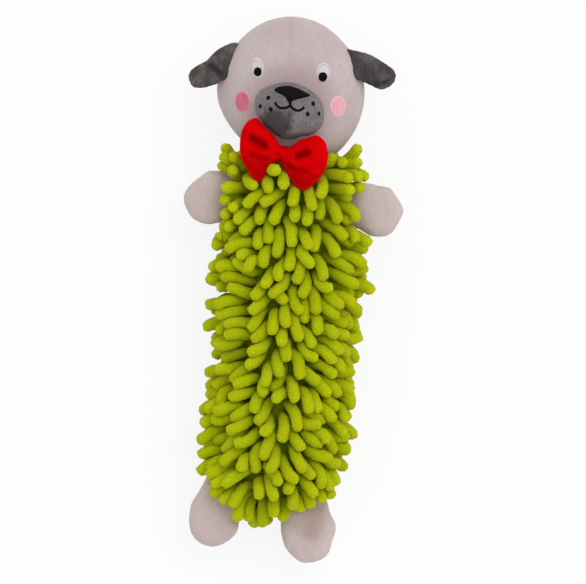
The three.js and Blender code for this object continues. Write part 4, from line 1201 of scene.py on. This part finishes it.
def settle(root, normal, way, length, sway, collar, placed):
    settings = noodleSettings
    beads, count = settings["beads"], len(root)
    t = np.linspace(0, 1, beads)[None, :, None]
    knee = root + normal * (length * settings["kneeShare"])[:, None] + sway
    tip = root + way * (length * settings["tipShare"])[:, None]
    start = root - normal * settings["rootDepth"]
    aim = (1 - t) ** 2 * start[:, None] + 2 * t * (1 - t) * knee[:, None] + t ** 2 * tip[:, None]
    beadAt = aim.copy()
    step = (length + settings["rootDepth"])[:, None] / (beads - 1)
    radius = np.tile(settings["radius"] * np.array([*settings["taper"]] + [1.0] * (beads - 3)), count)
    owner = np.repeat(np.arange(count), beads)
    weight = np.tile(np.array([0, 0.25] + [1.0] * (beads - 2)), count)
    free = weight > 0.5
    ease = np.where(placed, settings["placedEase"], 1.0)[owner][:, None]
    pull = np.where(placed, settings["placedPull"], settings["pull"])[:, None, None]
    reachesOver = (aim[:, -1, 2] >= settings["overBow"])[owner]
    blocks, limbBlocks = headObstacles(), limbObstacles()
    headRoom, limbRoom = radius[:, None] * settings["headTouch"], radius * settings["limbTouch"]
    bowLines = [rounded(traced(bowSettings[side]["outline"]), 2) for side in ("left", "right")]
    for turn in range(settings["steps"]):
        beadAt[:, 2:] += (aim[:, 2:] - beadAt[:, 2:]) * pull
        beadAt[:, 2:] += settings["stiffness"] * (2 * beadAt[:, 1:-1] - beadAt[:, :-2] - beadAt[:, 2:])
        points = beadAt.reshape(-1, 3)
        if turn % settings["regroup"] == 0:
            pairs = nearPairs(points, owner, weight, settings["radius"] * 2 + settings["searchRoom"])
        points = points + pushApart(points, radius, pairs) * weight[:, None] * ease
        for centre, half, matrix, moving in blocks:
            pushed, inside = ellipsoidPush(points, centre, half, matrix, headRoom)
            points = np.where((inside & free & ~(moving & collar[owner]))[:, None], pushed, points)
        for block in limbBlocks:
            pushed, inside = surfacePush(points, limbRoom, *block)
            points = np.where((inside & free)[:, None], pushed, points)
        for line in bowLines:
            underBow(points, line, reachesOver)
        outOfBody(points, free)
        points[:, 2] = np.maximum(points[:, 2], radius + settings["floor"])
        beadAt = points.reshape(beadAt.shape)
        beadAt[:, 0] = start
        beadAt[:, 1] = start + normal * step
        for at in range(2, beads):
            beadAt[:, at] = beadAt[:, at - 1] + unit(beadAt[:, at] - beadAt[:, at - 1], 1e-6) * step
    return beadAt


# What the noodles' tree takes, its sizes in metres
sweepSettings = {"Radius": 0.0038, "Lump height": 0.0005, "Lump scale": 420.0, "Sides": 8, "Rings": 9}


def noodleTree():  # sweeps a tapering, lumpy tube with a round end along each line
    tree = bpy.data.node_groups.new("noodles", "GeometryNodeTree")
    nodes = Nodes(tree)
    tree.interface.new_socket("Geometry", in_out="OUTPUT", socket_type="NodeSocketGeometry")
    tree.interface.new_socket("Lines", in_out="INPUT", socket_type="NodeSocketGeometry")
    for name, value in sweepSettings.items():
        kind = "NodeSocketInt" if isinstance(value, int) else "NodeSocketFloat"
        tree.interface.new_socket(name, in_out="INPUT", socket_type=kind).default_value = value
    finish = tree.interface.new_socket("Finish", in_out="INPUT", socket_type="NodeSocketMaterial").identifier

    def given(name):
        return nodes.node("NodeGroupInput", output=name)

    def curved(value, places):  # a line through the places, without overshoot
        made = nodes.node("ShaderNodeFloatCurve", {}, {"Value": value})
        mapping = made.socket.node.mapping
        curve = mapping.curves[0]
        curve.points[0].location, curve.points[1].location = places[0], places[-1]
        for place in places[1:-1]:
            curve.points.new(*place)
        for point in curve.points:
            point.handle_type = "AUTO_CLAMPED"
        mapping.update()
        return made

    lines = nodes.node("GeometryNodeMeshToCurve", {}, {"Mesh": given("Lines")})
    lines = nodes.node("GeometryNodeCurveSplineType", {"spline_type": "CATMULL_ROM"}, {"Curve": lines})
    lines = nodes.node("GeometryNodeResampleCurve", {}, {"Curve": lines, "Count": given("Rings")})
    along = nodes.node("GeometryNodeSplineParameter", output="Factor")
    spaced = curved(along, [(0, 0), (0.125, 0.2), (0.25, 0.41), (0.375, 0.6), (0.5, 0.76), (0.625, 0.87),
                            (0.75, 0.94), (0.875, 0.978), (1, 0.997)])
    index = nodes.node("GeometryNodeCurveOfPoint", output="Curve Index")
    whole = nodes.node("GeometryNodeSampleCurve", {
        "mode": "FACTOR", "data_type": "FLOAT", "use_all_curves": False}, {
        "Curves": lines, "Factor": spaced, "Curve Index": index}, "Position")
    lines = nodes.node("GeometryNodeSetPosition", {}, {"Geometry": lines, "Position": whole})
    lines = nodes.node("GeometryNodeStoreNamedAttribute", {"data_type": "FLOAT", "domain": "POINT"},
                       {"Geometry": lines, "Name": "noodleAlong", "Value": along})
    profile = curved(along, [(0, 0.66), (0.2, 0.82), (0.45, 0.96), (0.7, 1), (0.86, 0.99), (0.94, 0.87),
                             (0.98, 0.62), (1, 0.28)])
    ring = nodes.node("GeometryNodeCurvePrimitiveCircle", {}, {"Resolution": given("Sides"), "Radius": 1.0})
    tube = nodes.node("GeometryNodeCurveToMesh", {}, {
        "Curve": lines, "Profile Curve": ring, "Scale": profile * given("Radius"), "Fill Caps": True})
    noise = nodes.node("ShaderNodeTexNoise", {}, {"Scale": given("Lump scale"), "Detail": 1.0})
    lump = (noise - 0.5) * given("Lump height") * 4.0
    normal = nodes.node("GeometryNodeInputNormal")
    offset = nodes.node("ShaderNodeVectorMath", {"operation": "SCALE"}, {0: normal, "Scale": lump})
    tube = nodes.node("GeometryNodeSetPosition", {}, {"Geometry": tube, "Offset": offset})
    for kind in ("GeometryNodeSetShadeSmooth", "GeometryNodeRealizeInstances"):
        tube = nodes.node(kind, {}, {"Geometry": tube})
    tube = nodes.node("GeometryNodeSetMaterial", {}, {"Geometry": tube, "Material": given("Finish")})
    nodes.node("NodeGroupOutput", {}, {"Geometry": tube})
    return tree, finish


def noodlePiece(name, lines, shades, tree, finish):
    mesh = bpy.data.meshes.new(name)
    count, beads, _ = lines.shape
    edges = [(row * beads + at, row * beads + at + 1) for row in range(count) for at in range(beads - 1)]
    mesh.from_pydata((lines.reshape(-1, 3) * mm).tolist(), edges, [])
    paint(mesh, "noodleShade", np.repeat(shades, beads))
    piece = bpy.data.objects.new(name, mesh)
    bpy.context.scene.collection.objects.link(piece)
    sweep = piece.modifiers.new("noodles", "NODES")
    sweep.node_group = tree
    sweep[finish] = greenChenille
    return bake(piece)


def noodles():
    settings = noodleSettings
    draw = np.random.default_rng(settings["seed"])
    lay, placed = noodleLay(draw), placedNoodles()
    clear = np.ones(len(lay[0]), bool)
    for root in placed[0]:
        clear &= np.linalg.norm(lay[0] - root, axis=1) > settings["placedRoom"]
    outside = lay[0] + lay[1] * settings["limbRoom"]
    for block in limbObstacles():  # none is rooted where a limb is sewn in
        clear &= ~surfacePush(outside, np.zeros(len(outside)), *block)[1]
    root, normal, way, length, sway, down = (np.concatenate([known, given[clear]])
                                             for known, given in zip(placed, lay))
    collar = down < settings["collar"]
    lines = settle(root, normal, way, length, sway, collar, np.arange(len(root)) < len(placed[0]))
    shades = draw.uniform(0, 1, len(root))
    tree, finish = noodleTree()
    front = root[:, 2] > neckAt[2]
    for side, chosen in (("front", front & ~collar), ("back", ~front & ~collar)):
        piece = noodlePiece(f"noodles_{side}", lines[chosen], shades[chosen], tree, finish)
        belongs(piece, "torso", [f"noodle_cover_{side}"])
    # The ruff is sewn in with the neck; here its noodles make a piece of their own
    ruff = noodlePiece("noodles_collar", lines[collar], shades[collar], tree, finish)
    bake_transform(ruff)
    print("noodles laid:", len(root))


clearOfHead(body)
noodles()


# Squeaker bellows: their pleats close up as the top is pressed in; the wall is built here as it stands at
# rest

bellowsSettings = {"pleats": 3, "pleatDepth": 2.4, "wall": 1.2, "sides": 48, "press": 6}


def bellows():
    settings = bellowsSettings
    low, high = (np.array(corner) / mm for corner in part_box("squeaker_bellows"))
    middle, reach, rise = (low + high) / 2, (high[0] - low[0]) / 2, high[2] - low[2]
    share = np.linspace(0, 1, 2 * settings["pleats"] + 1)
    pleated = reach - settings["pleatDepth"] * (np.arange(len(share)) % 2)
    outer = np.stack([pleated, low[2] + rise * share], axis=1)
    line = np.concatenate([outer, outer[::-1] - np.array([settings["wall"], 0])])
    sides, count = settings["sides"], len(line)
    angles = np.arange(sides) * math.tau / sides
    points = [(middle[0] + away * math.cos(angle), middle[1] + away * math.sin(angle), height)
              for angle in angles for away, height in line]
    faces = [[side * count + at, (side + 1) % sides * count + at,
              (side + 1) % sides * count + (at + 1) % count, side * count + (at + 1) % count]
             for side in range(sides) for at in range(count)]
    wall = pieceFrom("squeaker_bellows_wall", points, faces, squeakerPlastic)
    belongs(wall, "torso", ["squeaker_bellows"])
    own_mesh(wall)


bellows()
print("bellows pleated")


# Floor, light and camera

studioSettings = {
    "camera": (0.36, -1.3, 9000), "width": 364.3, "sensor": 36, "sun": 0.9, "sunAngle": 50,
    "sunTurn": (-24, 20, 0), "fill": 0.71, "shadow": 0.16, "floorReach": 6, "floorDrop": 0.0002}


def paperFloor():  # white to the camera and to reflections, but it keeps the toy's shadow
    settings = studioSettings
    paper = bpy.data.materials.new("paper floor")
    paper.use_nodes = True
    paper.node_tree.nodes.clear()
    nodes = Nodes(paper.node_tree)
    camera, glossy, through = (nodes.node("ShaderNodeLightPath", output=f"Is {ray} Ray")
                               for ray in ("Camera", "Glossy", "Transmission"))
    rays = nodes.node("ShaderNodeMath", {"operation": "ADD", "use_clamp": True}, [camera + glossy, through])
    matt = nodes.node("ShaderNodeBsdfDiffuse", {}, {"Color": (1, 1, 1, 1)})
    white = nodes.node("ShaderNodeEmission")
    mixed = nodes.node("ShaderNodeMixShader", {}, [rays * (1 - settings["shadow"]), matt, white])
    nodes.node("ShaderNodeOutputMaterial", {}, [mixed])
    reach, drop = settings["floorReach"], settings["floorDrop"]
    corners = [(-reach, -reach, -drop), (reach, -reach, -drop), (reach, reach, -drop), (-reach, reach, -drop)]
    pieceFrom("floor", corners, [[0, 1, 2, 3]], paper, 1)


def studio():
    settings = studioSettings
    scene = bpy.context.scene
    world = bpy.data.worlds.new("studio")
    world.use_nodes = True
    scene.world = world
    sky = Nodes(world.node_tree)
    back = sky.tree.nodes["Background"].inputs
    seen = sky.node("ShaderNodeLightPath", output="Is Camera Ray")
    level = sky.node("ShaderNodeMix", {"data_type": "FLOAT"}, {0: seen, 2: settings["fill"], 3: 1.0})
    sky.feed(back["Strength"], level)
    sky.feed(back["Color"], (1, 1, 1, 1))

    lamp = bpy.data.lights.new("softbox", "SUN")
    lamp.energy, lamp.angle = settings["sun"], math.radians(settings["sunAngle"])
    light = bpy.data.objects.new("softbox", lamp)
    light.rotation_euler = [math.radians(turn) for turn in settings["sunTurn"]]
    scene.collection.objects.link(light)

    camera = bpy.data.objects.new("camera", bpy.data.cameras.new("camera"))
    camera.location = [value * mm for value in settings["camera"]]
    camera.data.sensor_width = settings["sensor"]
    camera.data.lens = settings["sensor"] * (settings["camera"][2] - neckAt[2]) / settings["width"]
    camera.data.clip_end = 20
    scene.collection.objects.link(camera)
    scene.camera = camera
    scene.view_settings.view_transform = "Standard"


paperFloor()
studio()
print("studio set")
